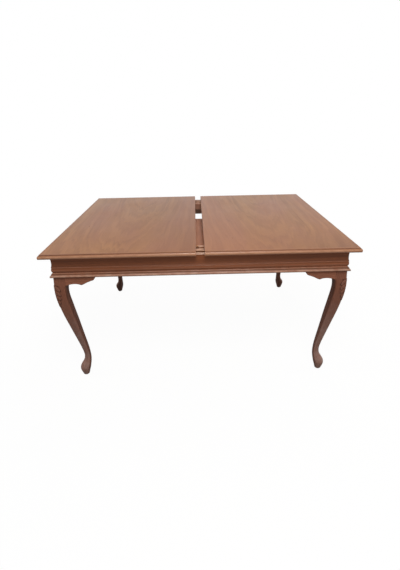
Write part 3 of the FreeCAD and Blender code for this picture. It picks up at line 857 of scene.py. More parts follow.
    def metal(self, canvas: Canvas, finish: MetalFinish) -> None:
        """Wire the material of a metal or nylon piece.

        Args:
            canvas: the material in the making.
            finish: its colours and gloss.
        """
        wiring = canvas.wiring
        blotch = wiring.noise(canvas.place, self.BLOTCHES, 4.0)
        brushed = wiring.stretched(canvas.place, self.BRUSHING, 2.0)
        both = wiring.maths("MULTIPLY", blotch, self.BLOTCH_SHARE)
        both = wiring.maths("MULTIPLY_ADD", brushed, self.BRUSHED_SHARE, both)
        share = wiring.ranged(both, *MIDDLING, 0.0, 1.0)
        bump = wiring.add("ShaderNodeBump", {
            "Strength": self.SCRATCH_STRENGTH, "Distance": self.SCRATCH_DEPTH, "Height": brushed,
        })
        wiring.feed(canvas.shader, {
            "Base Color": wiring.mix(share, finish.dull, finish.bright),
            "Roughness": wiring.ranged(blotch, *EVEN, finish.rough, finish.smooth),
            "Normal": bump.outputs[0], "Metallic": finish.metallic,
        })


# Objects and pieces
def dress(thing: Thing, material: Material, upright: Optional[Material] = None) -> None:
    """Give an object its material.

    Args:
        thing: the object.
        material: the material of its faces.
        upright: another material for the faces that look to the front or the back.
    """
    thing.data.materials.clear()
    thing.data.materials.append(material)
    if upright is not None:
        thing.data.materials.append(upright)
    for face in thing.data.polygons:
        face.material_index = int(upright is not None and abs(face.normal.y) > FACING)


def dress_nodes(material: Material, *names: str) -> None:
    """Give CAD nodes one material.

    Args:
        material: the material.
        names: the nodes.
    """
    for name in names:
        dress(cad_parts[name], material)
        log.info("dressed %s with %s", name, material.name)


def settle(thing: Thing, body: str, slot: str, *nodes: str) -> None:
    """Hand a finished piece to the frame.

    Args:
        thing: the piece.
        body: the body that it moves with.
        slot: the record's material slot; not used.
        nodes: CAD nodes that it stands for.
    """
    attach(thing, body)
    if nodes:
        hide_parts(*nodes)
    log.info("built %s on %s, %d faces", thing.name, body, len(thing.data.polygons))


def new_object(name: str, data: bpy.types.ID) -> Thing:
    """Put a mesh, lamp or camera into the scene.

    Args:
        name: the object's name.
        data: what it shows.

    Returns:
        The object.
    """
    thing = bpy.data.objects.new(name, data)
    bpy.context.scene.collection.objects.link(thing)
    return thing


def frozen(name: str, source: Thing) -> Thing:
    """Plain copy of an object with its modifiers applied; the source goes.

    Args:
        name: name of the copy.
        source: the object with modifiers.

    Returns:
        The plain object.
    """
    bpy.context.view_layer.update()
    ready = source.evaluated_get(bpy.context.evaluated_depsgraph_get())
    mesh = bpy.data.meshes.new_from_object(ready)
    mesh.name = name
    old = source.data
    bpy.data.objects.remove(source)
    bpy.data.meshes.remove(old)
    return new_object(name, mesh)


def smoothed(mesh: Mesh, crease: float) -> None:
    """Shade a mesh smooth, apart from edges sharper than an angle."""
    mesh.shade_smooth()
    mesh.set_sharp_from_angle(angle=crease)


def meshed(name: str, shape: bmesh.types.BMesh) -> Mesh:
    """Mesh of a finished shape, which goes.

    Args:
        name: the mesh's name.
        shape: the shape.

    Returns:
        The mesh.
    """
    mesh = bpy.data.meshes.new(name)
    shape.to_mesh(mesh)
    shape.free()
    return mesh


@dataclass(frozen=True)
class Easing:
    """How the sharp arrises of a wooden piece are eased."""

    width: float
    steps: int = 2
    merge: float = 1e-5
    flat: float = math.radians(0.6)
    sharp: float = math.radians(38.0)
    crease: float = math.radians(35.0)

    def build(self, node: str, body: str, material: Material, upright: Optional[Material] = None) -> None:
        """Replace one CAD node by a copy with eased arrises.

        Args:
            node: the CAD node.
            body: the body that it moves with.
            material: the wood of its faces.
            upright: another wood for the faces that look to the front or the back.
        """
        shape = bmesh.new()
        shape.from_mesh(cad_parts[node].data)
        bmesh.ops.remove_doubles(shape, verts=shape.verts, dist=self.merge)
        bmesh.ops.dissolve_limit(shape, angle_limit=self.flat, verts=shape.verts, edges=shape.edges)
        thing = new_object(node + "_soft", meshed(node + "_soft", shape))
        easing = thing.modifiers.new("easing", "BEVEL")
        easing.width = self.width
        easing.segments = self.steps
        easing.limit_method = "ANGLE"
        easing.angle_limit = self.sharp
        easing.use_clamp_overlap = True
        piece = frozen(node + "_eased", thing)
        smoothed(piece.data, self.crease)
        dress(piece, material, upright)
        settle(piece, body, "inner wood", node)


@dataclass(frozen=True)
class KneeLeaf:
    """Carved leaf that hangs over the outer corner of a knee.

    Heights are above the floor. Widths are distances round the leg, apart from those of a valley
    and a vein, which are shares of a lobe. A fade holds the places where a change starts and where
    it is whole: shares from root to tip, or shares from the stem to the leaf's edge.
    """

    root: float = 0.608
    tip: float = 0.474
    half_width: float = 0.031
    least_width: float = 1e-4
    belly: float = 0.62
    fullness: float = 0.6
    taper: float = 0.25
    lobes: float = 5.0
    lobe_cut: float = 0.36
    crowding: float = 0.92
    droop: float = 0.9
    relief: float = 0.0010
    bevel: Pair = (-0.0003, 0.0026)
    root_fade: Pair = (-0.01, 0.04)
    tip_fade: Pair = (0.92, 1.0)
    swell: float = 0.0014
    swell_middle: float = 0.4
    swell_fade: Pair = (0.1, 0.5)
    valley: float = 0.0018
    valley_width: float = 0.14
    valley_fade: Pair = (0.15, 0.5)
    vein: float = 0.0006
    vein_width: float = 0.07
    vein_fade: Pair = (0.2, 0.5)
    rib: float = 0.0012
    stem_width: float = 0.0028
    stem_taper: float = 0.5
    groove_at: float = 0.0058
    groove_width: float = 0.0019
    ground: float = 0.0011
    ground_width: float = 0.0036
    ground_root_fade: Pair = (-0.02, 0.06)
    ground_tip_fade: Pair = (0.96, 1.02)
    valley_stain: float = 0.6
    vein_stain: float = 0.3
    groove_stain: float = 0.35
    ground_stain: float = 0.7
    lobe_rub: float = 0.3
    stem_rub: float = 0.4

    def relief_at(self, across: np.ndarray, height: np.ndarray) -> tuple[np.ndarray, np.ndarray, np.ndarray]:
        """Shape of the carving.

        Args:
            across: distance round the leg from its outer corner.
            height: height above the floor.

        Returns:
            How far the carved surface stands out, how hollow it is and how rubbed.
        """
        along = (self.root - height) / (self.root - self.tip)
        held = np.clip(along, 0.0, 1.0)
        envelope = np.sin(np.pi * held ** self.belly) ** self.fullness * (1.0 - self.taper * held)
        side = np.abs(across)
        phase = self.lobes * held ** self.crowding - self.droop * side / self.half_width
        part = phase - np.floor(phase)
        bulge = np.sin(np.pi * part)
        width = self.half_width * envelope * (1.0 - self.lobe_cut + self.lobe_cut * bulge ** self.fullness)
        inside = width - side
        rise = smooth_step(*self.bevel, inside) * between(self.root_fade, self.tip_fade, along)
        outwards = np.clip(side / np.maximum(width, self.least_width), 0.0, 1.0)
        swell = self.swell * (bulge - self.swell_middle) * smooth_step(*self.swell_fade, outwards)
        gap = np.minimum(part, 1.0 - part)
        valley = bell(gap, self.valley_width) * smooth_step(*self.valley_fade, outwards)
        vein = bell(part - 0.5, self.vein_width) * smooth_step(*self.vein_fade, outwards)
        stem = bell(side, self.stem_width) * (1.0 - self.stem_taper * held)
        groove = bell(side - self.groove_at, self.groove_width)
        ground = bell(np.minimum(inside, 0.0), self.ground_width) * (1.0 - rise)
        ground *= between(self.ground_root_fade, self.ground_tip_fade, along)
        stand = self.relief + swell - self.valley * valley - self.vein * vein + self.rib * (stem - groove)
        stand = rise * stand - self.ground * ground
        hollow = rise * (self.valley_stain * valley + self.vein_stain * vein + self.groove_stain * groove)
        hollow = np.clip(hollow + self.ground_stain * ground, 0.0, 1.0)
        rubbed = np.clip(rise * (self.lobe_rub * bulge ** 3 * outwards + self.stem_rub * stem), 0.0, 1.0)
        return stand, hollow, rubbed * (1.0 - hollow)


@dataclass
class CarvedLeg:
    """Cabriole leg with a carved knee, and the post that holds it in the frame corner.

    Sections are (share of the height, outer face, inner face, squareness); the faces are
    measured inwards from the outer faces of the apron lip, in millimetres.
    """

    lip: Pair = (0.715, 0.515)
    low: float = 0.004
    high: float = 0.648
    post: Pair = (0.0393, 0.0833)
    post_heights: Pair = (0.612, 0.735)
    post_cut: float = 0.148
    worn_below: Pair = (0.2, 0.58)
    wear: float = 0.66
    # Painted shade on the two inner faces of each leg, deepest on the back left leg, which stands in the
    # deepest shade
    inner_painted_shade: dict[str, float] = field(default_factory=lambda: {
        "front_left": 0.46, "front_right": 0.44, "back_left": 0.84, "back_right": 0.54,
    })
    shaded_inner_faces: Pair = (0.67, 0.84)
    inner_kept: float = 0.8
    square_from: Pair = (0.588, 0.614)
    square_power: float = 26.0
    corner: float = math.radians(225.0)
    corner_spread: float = math.radians(82.0)
    around: int = 72
    around_corner: int = 84
    knee_margin: float = 0.012
    rows_below: int = 110
    rows_knee: int = 200
    rows_above: int = 8
    crease: float = math.radians(50.0)
    leaf: KneeLeaf = KneeLeaf()
    sections: tuple[tuple[float, float, float, float], ...] = (
        (0.0, 29.6, 62.0, 2.0), (0.0217, 25.6, 66.0, 2.0), (0.0451, 21.6, 71.0, 2.0),
        (0.0668, 19.8, 75.4, 2.0), (0.0869, 22.2, 78.4, 2.0), (0.1087, 30.0, 80.8, 2.0),
        (0.1304, 39.8, 82.2, 2.0), (0.1553, 46.4, 83.2, 2.0), (0.1864, 49.3, 83.6, 2.0),
        (0.2344, 48.2, 83.2, 2.1), (0.3044, 42.8, 81.0, 2.3), (0.382, 35.7, 77.3, 2.6),
        (0.4596, 28.3, 74.0, 2.9), (0.5373, 20.9, 70.8, 3.1), (0.6149, 13.6, 67.3, 3.4),
        (0.677, 8.6, 64.0, 3.6), (0.7392, 4.5, 61.0, 3.8), (0.7935, 2.0, 58.2, 4.0),
        (0.8447, 1.1, 57.0, 4.2), (0.8882, 2.0, 59.2, 4.6), (0.9255, 4.0, 63.0, 5.5),
        (0.9659, 7.2, 63.8, 7.5), (1.0, 9.0, 64.0, 9.0),
    )

    def heights(self) -> np.ndarray:
        """Heights of the rows, closer together over the carved knee.

        Returns:
            The heights, rising.
        """
        knee_low, knee_high = self.leaf.tip - self.knee_margin, self.leaf.root + self.knee_margin
        below = np.linspace(self.low, knee_low, self.rows_below)
        knee = np.linspace(knee_low, knee_high, self.rows_knee)
        above = np.linspace(knee_high, self.high, self.rows_above)
        return np.concatenate([below, knee[1:], above[1:]])

    def angles(self) -> np.ndarray:
        """Directions of the columns, closer together round the outer corner.

        Returns:
            The angles, rising through one turn.
        """
        first, last = self.corner - self.corner_spread, self.corner + self.corner_spread
        close = np.linspace(first, last, self.around_corner)
        rest = np.linspace(last, first + 2.0 * math.pi, self.around + 2)[1:-1]
        return np.concatenate([close, rest])

    def reading(self, column: int, heights: np.ndarray) -> np.ndarray:
        """One column of the sections, read smoothly.

        Args:
            column: number of the column.
            heights: heights to read it at.

        Returns:
            Its value at each height.
        """
        table = np.array(self.sections)
        share = (heights - self.low) / (self.high - self.low)
        return smooth_through(table[:, 0], table[:, column], share)

    def surface(self, inner_painted_shade: float) -> tuple[np.ndarray, np.ndarray, np.ndarray]:
        """Carved surface as a grid of points, with its mask of hollows and painted shade and its rubbed
        mask.

        Args:
            inner_painted_shade: how dark the two inner faces are.

        Returns:
            Points as rows by columns by 3, and the two masks as rows by columns.
        """
        heights, angles = self.heights(), self.angles()
        outer, inner, square = (self.reading(column, heights) for column in (1, 2, 3))
        middle, half = (outer + inner) / 2.0 * MM, (inner - outer) / 2.0 * MM
        along, across = np.cos(angles), np.sin(angles)
        squared = smooth_step(*self.square_from, heights)
        towards_brackets = np.where((along < 0.0) & (across < 0.0), 0.0, 1.0)
        power = square[:, None] + (squared * (self.square_power - square))[:, None] * towards_brackets
        size = (np.abs(along) ** power + np.abs(across) ** power) ** (-1.0 / power)
        points = np.stack([
            middle[:, None] + half[:, None] * size * along,
            middle[:, None] + half[:, None] * size * across,
            np.repeat(heights[:, None], len(angles), axis=1),
        ], axis=2)
        run = np.linalg.norm(np.diff(points, axis=1, append=points[:, :1]), axis=2)
        length = np.cumsum(run, axis=1) - run
        corner = int(np.argmin(np.abs(angles - self.corner)))
        total = run.sum(axis=1, keepdims=True)
        distance = length - length[:, corner:corner + 1]
        distance = np.where(distance > total / 2.0, distance - total, distance)
        stand, hollow, rubbed = self.leaf.relief_at(distance, points[:, :, 2])
        worn = 1.0 - smooth_step(*self.worn_below, points[:, :, 2])
        rubbed = np.maximum(rubbed, self.wear * worn)
        # Painted shade on the two inner faces, which are also kept from being rubbed
        shaded_inner_faces = smooth_step(*self.shaded_inner_faces, np.maximum(along, across))[None, :]
        hollow = np.maximum(hollow, inner_painted_shade * shaded_inner_faces)
        rubbed = rubbed * (1.0 - self.inner_kept * shaded_inner_faces)
        around = np.roll(points, -1, axis=1) - np.roll(points, 1, axis=1)
        upwards = np.gradient(points, heights, axis=0)
        normal = np.cross(around, upwards)
        normal /= np.linalg.norm(normal, axis=2, keepdims=True)
        return points + normal * stand[:, :, None], hollow, rubbed

    def post_shape(self, first: int) -> tuple[list[Point], list[Face]]:
        """Square post in the frame corner, with its inner corner cut off above the leg's top.

        Args:
            first: number of its first point.

        Returns:
            Its points and its faces.
        """
        near, far = self.post
        cut = self.post_cut - far
        plan = [(near, near), (far, near), (far, cut), (far, far), (cut, far), (near, far)]
        bottom, top = self.post_heights
        points = [(a, b, z) for z in (bottom, self.high, top) for a, b in plan]
        base, ledge, head = (first + level * len(plan) for level in range(3))
        whole, kept = (0, 1, 2, 3, 4, 5), (0, 1, 2, 4, 5)
        faces: list[Face] = [tuple(base + i for i in reversed(whole))]
        for lower, upper, ring, lid in (
            (base, ledge, whole, (ledge + 2, ledge + 3, ledge + 4)),
            (ledge, head, kept, tuple(head + i for i in kept)),
        ):
            for i, j in zip(ring, ring[1:] + ring[:1]):
                faces.append((lower + i, lower + j, upper + j, upper + i))
            faces.append(lid)
        return points, faces

    def mesh(self, name: str, sign_x: float, sign_y: float, inner_painted_shade: float) -> Mesh:
        """Closed mesh of one leg.

        Args:
            name: the mesh's name.
            sign_x: -1 at the left end, 1 at the right end.
            sign_y: -1 at the front, 1 at the back.
            inner_painted_shade: how dark its two inner faces are.

        Returns:
            The mesh, with its masks as attributes.
        """
        points, *masks = self.surface(inner_painted_shade)
        rows, columns = points.shape[:2]
        faces: list[Face] = []
        for row in range(rows - 1):
            for column in range(columns):
                after = (column + 1) % columns
                faces.append((row * columns + column, row * columns + after,
                              (row + 1) * columns + after, (row + 1) * columns + column))
        faces.append(tuple(reversed(range(columns))))
        faces.append(tuple(range((rows - 1) * columns, rows * columns)))
        post, post_faces = self.post_shape(rows * columns)
        faces += post_faces
        flat = np.concatenate([points.reshape(-1, 3), np.array(post)])
        flat[:, 0] = sign_x * (self.lip[0] - flat[:, 0])
        flat[:, 1] = sign_y * (self.lip[1] - flat[:, 1])
        if sign_x * sign_y < 0.0:
            faces = [tuple(reversed(face)) for face in faces]
        mesh = bpy.data.meshes.new(name)
        mesh.from_pydata(flat.tolist(), [], faces)
        # The hollow mask also carries the painted shade of the inner faces; the post takes it all over
        for title, mask, rest in zip(Hollows.CARVING.value, masks, (inner_painted_shade, 0.0)):
            values = np.concatenate([mask.ravel(), np.full(len(post), rest)]).astype(np.float32)
            mesh.attributes.new(title, "FLOAT", "POINT").data.foreach_set("value", values)
        smoothed(mesh, self.crease)
        mesh.update()
        return mesh

    def build(self, paint: Paint) -> None:
        """Build the four legs.

        Args:
            paint: maker of the materials.
        """
        for end, side in CORNERS:
            corner = f"{side}_{end}"
            name = corner + "_leg_carved"
            mesh = self.mesh(name, ENDS[end], SIDES[side], self.inner_painted_shade[corner])
            leg = new_object(name, mesh)
            dress(leg, paint.of(CARVED_LEG))
            settle(leg, "frame", "frame wood", corner + "_leg")


@dataclass
class KneeBrackets:
    """Scalloped brackets that carry the knees into the aprons.

    The scallop is a chain of arcs: every second point joins two of them. Its points are
    distances from the leg and down from the apron, in millimetres, as is what is left off its tip.
    """

    leg: CarvedLeg
    leg_face: float = 0.06405
    setback: float = 0.009
    thickness: float = 0.025
    flow: float = 0.055
    round_over: float = 0.0028
    round_share: float = 0.45
    tip_left_off: float = 0.15
    crowding: float = 0.9
    columns: int = 90
    face_rows: int = 12
    round_steps: int = 5
    crease: float = math.radians(40.0)
    scallop: tuple[Pair, ...] = (
        (146.0, 0.0), (142.0, 12.5), (133.0, 22.0), (113.0, 29.0), (95.0, 37.0), (84.0, 42.8),
        (72.0, 47.0), (64.0, 43.4), (55.0, 41.0), (30.0, 39.8), (0.0, 47.0),
    )

    def places(self) -> np.ndarray:
        """Distances from the leg of the sections, closer together at the tip.

        Returns:
            The distances, rising, in millimetres.
        """
        tip = self.scallop[0][0] - self.tip_left_off
        even = np.linspace(0.0, 1.0, self.columns)
        return tip * np.sin(even * math.pi / 2.0) ** self.crowding

    def drops(self, places: np.ndarray) -> np.ndarray:
        """Depth of the scallop.

        Args:
            places: distances from the leg, in millimetres.

        Returns:
            The depth at each of them, in millimetres.
        """
        drops = np.zeros(len(places))
        for start in range(0, len(self.scallop) - 2, 2):
            first, middle, last = self.scallop[start:start + 3]
            own = (places <= first[0]) & (places >= last[0])
            drops[own] = arc_through(first, middle, last, places[own])
        return drops

    def section(self, place: float, drop: float) -> list[Pair]:
        """One section of the bracket.

        Args:
            place: distance from the leg.
            drop: depth of the scallop there.

        Returns:
            Points as distances inwards from the lip and heights, round the section.
        """
        top = self.leg.high
        bend = min(self.round_over, self.round_share * drop)
        level = top - drop + bend
        back = self.setback + self.thickness
        turns = np.linspace(0.0, math.pi / 2.0, self.round_steps)
        heights = np.concatenate([np.linspace(top, level, self.face_rows), level - bend * np.sin(turns[1:])])
        inwards = np.concatenate([np.zeros(self.face_rows), bend * (1.0 - np.cos(turns[1:]))])
        knee = self.leg.reading(1, heights) * MM - self.setback
        fade = 1.0 - smooth_step(0.0, self.flow, np.array([place]))[0]
        front = self.setback + knee * fade + inwards
        points = list(zip(front.tolist(), heights.tolist()))
        points += [(back - bend + bend * math.sin(turn), level - bend * math.cos(turn)) for turn in turns]
        points.append((back, top))
        return points

    def mesh(self, name: str, sign_x: float, sign_y: float, on_end: bool) -> Mesh:
        """Closed mesh of one bracket.

        Args:
            name: the mesh's name.
            sign_x: -1 at the left end, 1 at the right end.
            sign_y: -1 at the front, 1 at the back.
            on_end: whether it sits on an end apron.

        Returns:
            The mesh.
        """
        shape = bmesh.new()
        rings = []
        places = self.places()
        for place, drop in zip(places * MM, self.drops(places) * MM):
            ring = []
            for inwards, height in self.section(place, drop):
                first, second = self.leg_face + place, inwards
                if on_end:
                    first, second = second, first
                spot = (sign_x * (self.leg.lip[0] - first), sign_y * (self.leg.lip[1] - second), height)
                ring.append(shape.verts.new(spot))
            rings.append(ring)
        for ring, after in zip(rings, rings[1:]):
            for i in range(len(ring)):
                j = (i + 1) % len(ring)
                shape.faces.new((ring[i], ring[j], after[j], after[i]))
        shape.faces.new(rings[0])
        shape.faces.new(rings[-1])
        bmesh.ops.recalc_face_normals(shape, faces=shape.faces)
        mesh = meshed(name, shape)
        smoothed(mesh, self.crease)
        return mesh

    def build(self, paint: Paint) -> None:
        """Build the eight brackets.

        Args:
            paint: maker of the materials.
        """
        for end, side in CORNERS:
            for node, board in ((f"{side}_{end}", BRACKET_ALONG), (f"{end}_{side}", BRACKET_ACROSS)):
                name = node + "_bracket_shaped"
                mesh = self.mesh(name, ENDS[end], SIDES[side], board is BRACKET_ACROSS)
                piece = new_object(name, mesh)
                dress(piece, paint.of(board))
                settle(piece, "frame", "frame wood", node + "_bracket")


class ScrewSet:
    """Countersunk screws with a cross recess, set by Geometry Nodes.

    Before its turn a screw has the middle of its head's face at its place and its shank along +Z.
    """

    SIZES = {
        "Head Diameter": 0.009, "Head Height": 0.003, "Shank Diameter": 0.005,
        "Length": 0.056, "Recess Width": 0.0012, "Recess Length": 0.0052, "Recess Depth": 0.0016,
    }
    # Bars that cut the recess: the inputs of two sides, and the third side over the recess depth.
    # Half of each bar is in the head. They go to unequal depths, so that none of their faces coincide.
    BARS = (("Recess Length", "Recess Width", 2.0), ("Recess Width", "Recess Length", 1.7))
    HEAD_SIDES = 28
    SHANK_SIDES = 16
    SHANK_START = 0.0015
    SEED = 7
    CREASE = math.radians(30.0)

    def __init__(self) -> None:
        """Build the tree once."""
        self.tree = bpy.data.node_groups.new("Screw set", "GeometryNodeTree")
        self.make_sockets()
        self.make_tree()

    def make_sockets(self) -> None:
        """Name the tree's inputs and its output."""
        face = self.tree.interface
        face.new_socket(name="Places", in_out="INPUT", socket_type="NodeSocketGeometry")
        for name, value in self.SIZES.items():
            face.new_socket(name=name, in_out="INPUT", socket_type="NodeSocketFloat").default_value = value
        face.new_socket(name="Turn", in_out="INPUT", socket_type="NodeSocketVector")
        face.new_socket(name="Seed", in_out="INPUT", socket_type="NodeSocketInt").default_value = self.SEED
        face.new_socket(name="Material", in_out="INPUT", socket_type="NodeSocketMaterial")
        face.new_socket(name="Screws", in_out="OUTPUT", socket_type="NodeSocketGeometry")

    def make_tree(self) -> None:
        """Lay out the nodes: one screw, placed at every point, realized and given its material."""
        wiring = Wiring(self.tree)
        source = wiring.add("NodeGroupInput").outputs
        head_radius = wiring.maths("MULTIPLY", source["Head Diameter"], 0.5)
        shank_radius = wiring.maths("MULTIPLY", source["Shank Diameter"], 0.5)
        head = wiring.add("GeometryNodeMeshCone", {
            "Vertices": self.HEAD_SIDES, "Radius Top": shank_radius, "Radius Bottom": head_radius,
            "Depth": source["Head Height"],
        })
        shank = wiring.add("GeometryNodeMeshCylinder", {
            "Vertices": self.SHANK_SIDES, "Radius": shank_radius, "Depth": source["Length"],
        })
        middle = wiring.maths("MULTIPLY_ADD", source["Length"], 0.5, self.SHANK_START)
        lift = wiring.add("ShaderNodeCombineXYZ", {"Z": middle})
        shank = wiring.add("GeometryNodeTransform", {
            "Geometry": shank.outputs["Mesh"], "Translation": lift.outputs[0],
        })
        cut = wiring.add("GeometryNodeMeshBoolean", {"Mesh 1": head.outputs["Mesh"]}, operation="DIFFERENCE")
        for across, along, share in self.BARS:
            deep = wiring.maths("MULTIPLY", source["Recess Depth"], share)
            size = wiring.add("ShaderNodeCombineXYZ", {"X": source[across], "Y": source[along], "Z": deep})
            bar = wiring.add("GeometryNodeMeshCube", {"Size": size.outputs[0]})
            wiring.feed(cut.inputs, {"Mesh 2": bar.outputs["Mesh"]})
        screw = wiring.add("GeometryNodeJoinGeometry")
        for part in (shank.outputs[0], cut.outputs["Mesh"]):
            wiring.feed(screw.inputs, {"Geometry": part})
        # Inputs 2 and 3 of Random Value are its least and largest number
        spin = wiring.add("FunctionNodeRandomValue", {"Seed": source["Seed"], 3: math.pi}, data_type="FLOAT")
        turned = wiring.add("ShaderNodeCombineXYZ", {"Z": spin.outputs[1]}).outputs[0]
        own = wiring.add("FunctionNodeEulerToRotation", {0: turned}).outputs[0]
        main_turn = wiring.add("FunctionNodeEulerToRotation", {0: source["Turn"]}).outputs[0]
        both = wiring.add("FunctionNodeRotateRotation", {0: main_turn, 1: own}, rotation_space="LOCAL")
        placed = wiring.add("GeometryNodeInstanceOnPoints", {
            "Points": source["Places"], "Instance": screw.outputs[0], "Rotation": both.outputs[0],
        })
        real = wiring.add("GeometryNodeRealizeInstances", {0: placed.outputs[0]})
        done = wiring.add("GeometryNodeSetMaterial", {
            "Geometry": real.outputs[0], "Material": source["Material"],
        })
        wiring.add("NodeGroupOutput", {0: done.outputs[0]})

    def build(self, name: str, places: Sequence[Point], material: Material,
              sizes: Optional[Mapping[str, Union[float, Point]]] = None) -> Thing:
        """One set of equal screws.

        Args:
            name: name of the piece.
            places: middle of each head's face.
            material: the screws' metal.
            sizes: values for the tree's named inputs, where they differ from its own.

        Returns:
            A plain mesh object.
        """
        mesh = bpy.data.meshes.new(name + "_places")
        mesh.from_pydata(places, [], [])
        thing = new_object(name + "_places", mesh)
        modifier = thing.modifiers.new("screws", "NODES")
        modifier.node_group = self.tree
        wanted = {**(sizes or {}), "Material": material}
        for item in self.tree.interface.items_tree:
            if item.in_out == "INPUT" and item.name in wanted:
                modifier[item.identifier] = wanted[item.name]
        piece = frozen(name, thing)
        smoothed(piece.data, self.CREASE)
        return piece


@dataclass
class TopHalves:
    """The two veneered halves of the top with their mitred lippings and runners."""

    easing: Easing = Easing(0.0012)
    runner_lines: dict[str, float] = field(default_factory=lambda: {"left": 0.4465, "right": 0.4015})
    runner_screws: tuple[float, ...] = (0.3525, 0.20125, 0.070)
    head_level: float = 0.706

    def dress(self, paint: Paint) -> None:
        """Veneer on the panels and long grain on the lippings.

        Args:
            paint: maker of the materials.
        """
        for end in ENDS:
            dress_nodes(paint.of(HALF_VENEERS[end]), end + "_top_panel")
            dress_nodes(paint.of(EDGE_ALONG), end + "_front_lipping", end + "_back_lipping")
            dress_nodes(paint.of(EDGE_ACROSS), end + "_end_lipping")
        dress_nodes(paint.of(OLD_BRASS), "top_pins")

    def build(self, paint: Paint, screws: ScrewSet) -> None:
        """Runners with eased arrises, and their screws.

        Args:
            paint: maker of the materials.
            screws: maker of the screws.
        """
        for end, sign in ENDS.items():
            body = end + "_top"
            for side in SIDES:
                node = f"{end}_{side}_runner"
                # The runners' upright faces take the slide wood with its painted shade
                self.easing.build(node, body, paint.of(INNER_ALONG), paint.of(SLIDES[side]))
            line = self.runner_lines[end]
            places = [(sign * x, y, self.head_level) for x in self.runner_screws for y in (line, -line)]
            piece = screws.build(end + "_runner_screw_set", places, paint.of(ZINC))
            settle(piece, body, "zinc steel", end + "_runner_screws")


@dataclass
class UnderFrame:
    """Moulded aprons, braces, rails, bearers, rest blocks, stops and their fittings."""

    easing: Easing = Easing(0.0014)
    bearer_screws: tuple[float, ...] = (0.552, 0.252)
    rail_line: float = 0.424
    head_level: float = 0.662

    def dress(self, paint: Paint) -> None:
        """Finish on the pieces whose CAD shape stays.

        Args:
            paint: maker of the materials.
        """
        dress_nodes(paint.of(APRON_ALONG), "front_apron", "back_apron")
        dress_nodes(paint.of(APRON_ACROSS), "left_apron", "right_apron")
        dress_nodes(paint.of(ZINC), "leg_bolts", "wing_nuts")
        dress_nodes(paint.of(NYLON), "foot_glides")
        dress_nodes(paint.of(DARK_STEEL), "left_pivot_bracket", "right_pivot_bracket")

    def build(self, paint: Paint, screws: ScrewSet) -> None:
        """Pieces with eased arrises, and the screws through the bearers.

        Args:
            paint: maker of the materials.
            screws: maker of the screws.
        """
        for side in SIDES:
            for piece in ("left_brace", "right_brace", "rail"):
                self.easing.build(f"{side}_{piece}", "frame", paint.of(INNER_ALONG))
        for end in ENDS:
            for piece in ("outer_bearer", "inner_bearer", "rest_block"):
                self.easing.build(f"{end}_{piece}", "frame", paint.of(INNER_ACROSS))
        self.easing.build("runner_stops", "frame", paint.of(INNER_ALONG))
        places = [
            (sign_x * x, sign_y * self.rail_line, self.head_level)
            for x in self.bearer_screws for sign_x in ENDS.values() for sign_y in SIDES.values()
        ]
        screw_set = screws.build("rail_screw_set", places, paint.of(ZINC))
        settle(screw_set, "frame", "zinc steel", "rail_screws")


@dataclass
class ButterflyLeaf:
    """The folded leaf with its hinges, swing arms and pivot pins."""

    fold_y: float = 0.196
    fold_z: float = 0.67575
    hinge_x: tuple[float, ...] = (-0.15, 0.0, 0.15)
    screw_x: tuple[float, ...] = (-0.018, 0.0, 0.018)
    screw_rise: float = 0.0122
    screw_proud: float = 0.0002
    screw_sizes: dict[str, Union[float, Point]] = field(default_factory=lambda: {
        "Turn": (math.pi / 2.0, 0.0, 0.0), "Head Diameter": 0.0062, "Head Height": 0.0018,
        "Shank Diameter": 0.003, "Length": 0.014, "Recess Width": 0.0008, "Recess Length": 0.0036,
        "Recess Depth": 0.0009,
    })

    def dress(self, paint: Paint) -> None:
        """Veneer on the leaf and metal on its fittings.

        Args:
            paint: maker of the materials.
        """
        dress_nodes(paint.of(LEAF_VENEER), "leaf_upper_half", "leaf_lower_half")
        dress_nodes(paint.of(OLD_BRASS), "leaf_upper_pin", "leaf_lower_pin")
        dress_nodes(paint.of(BRASS), "leaf_upper_hinges", "leaf_lower_hinges", "leaf_hinge_pins")
        dress_nodes(paint.of(DARK_STEEL), "left_swing_arm", "right_swing_arm", "pivot_pins")

    def build(self, paint: Paint, screws: ScrewSet) -> None:
        """Small screws in the hinge plates.

        Args:
            paint: maker of the materials.
            screws: maker of the screws.
        """
        for half, sign in (("upper", 1.0), ("lower", -1.0)):
            places = [
                (x + shift, self.fold_y + self.screw_proud, self.fold_z + sign * self.screw_rise)
                for x in self.hinge_x for shift in self.screw_x
            ]
            piece = screws.build(f"leaf_{half}_hinge_screws", places, paint.of(BRASS), self.screw_sizes)
            settle(piece, f"{half}_leaf", "brass")


# Studio
@dataclass(frozen=True)
class Lamp:
    """Large soft square lamp: where it hangs, its power in watts, what it faces and its side."""

    name: str
    place: Point
    power: float
    aim: Point = (0.0, 0.0, 0.45)
    size: float = 1.6
    mirrored: bool = False
    colour: Colour = (1.0, 0.98, 0.95)

    def build(self) -> None:
        """Hang the lamp; only a mirrored one shows in reflections."""
        data = bpy.data.lights.new(self.name, "AREA")
        data.shape = "SQUARE"
        data.size = self.size
        data.energy = self.power
        data.color = self.colour
        thing = new_object(self.name, data)
        thing.visible_glossy = self.mirrored
        back = (Vector(self.place) - Vector(self.aim)).normalized()
        thing.rotation_mode = "QUATERNION"
        thing.rotation_quaternion = back.to_track_quat("Z", "Y")
        thing.location = self.place


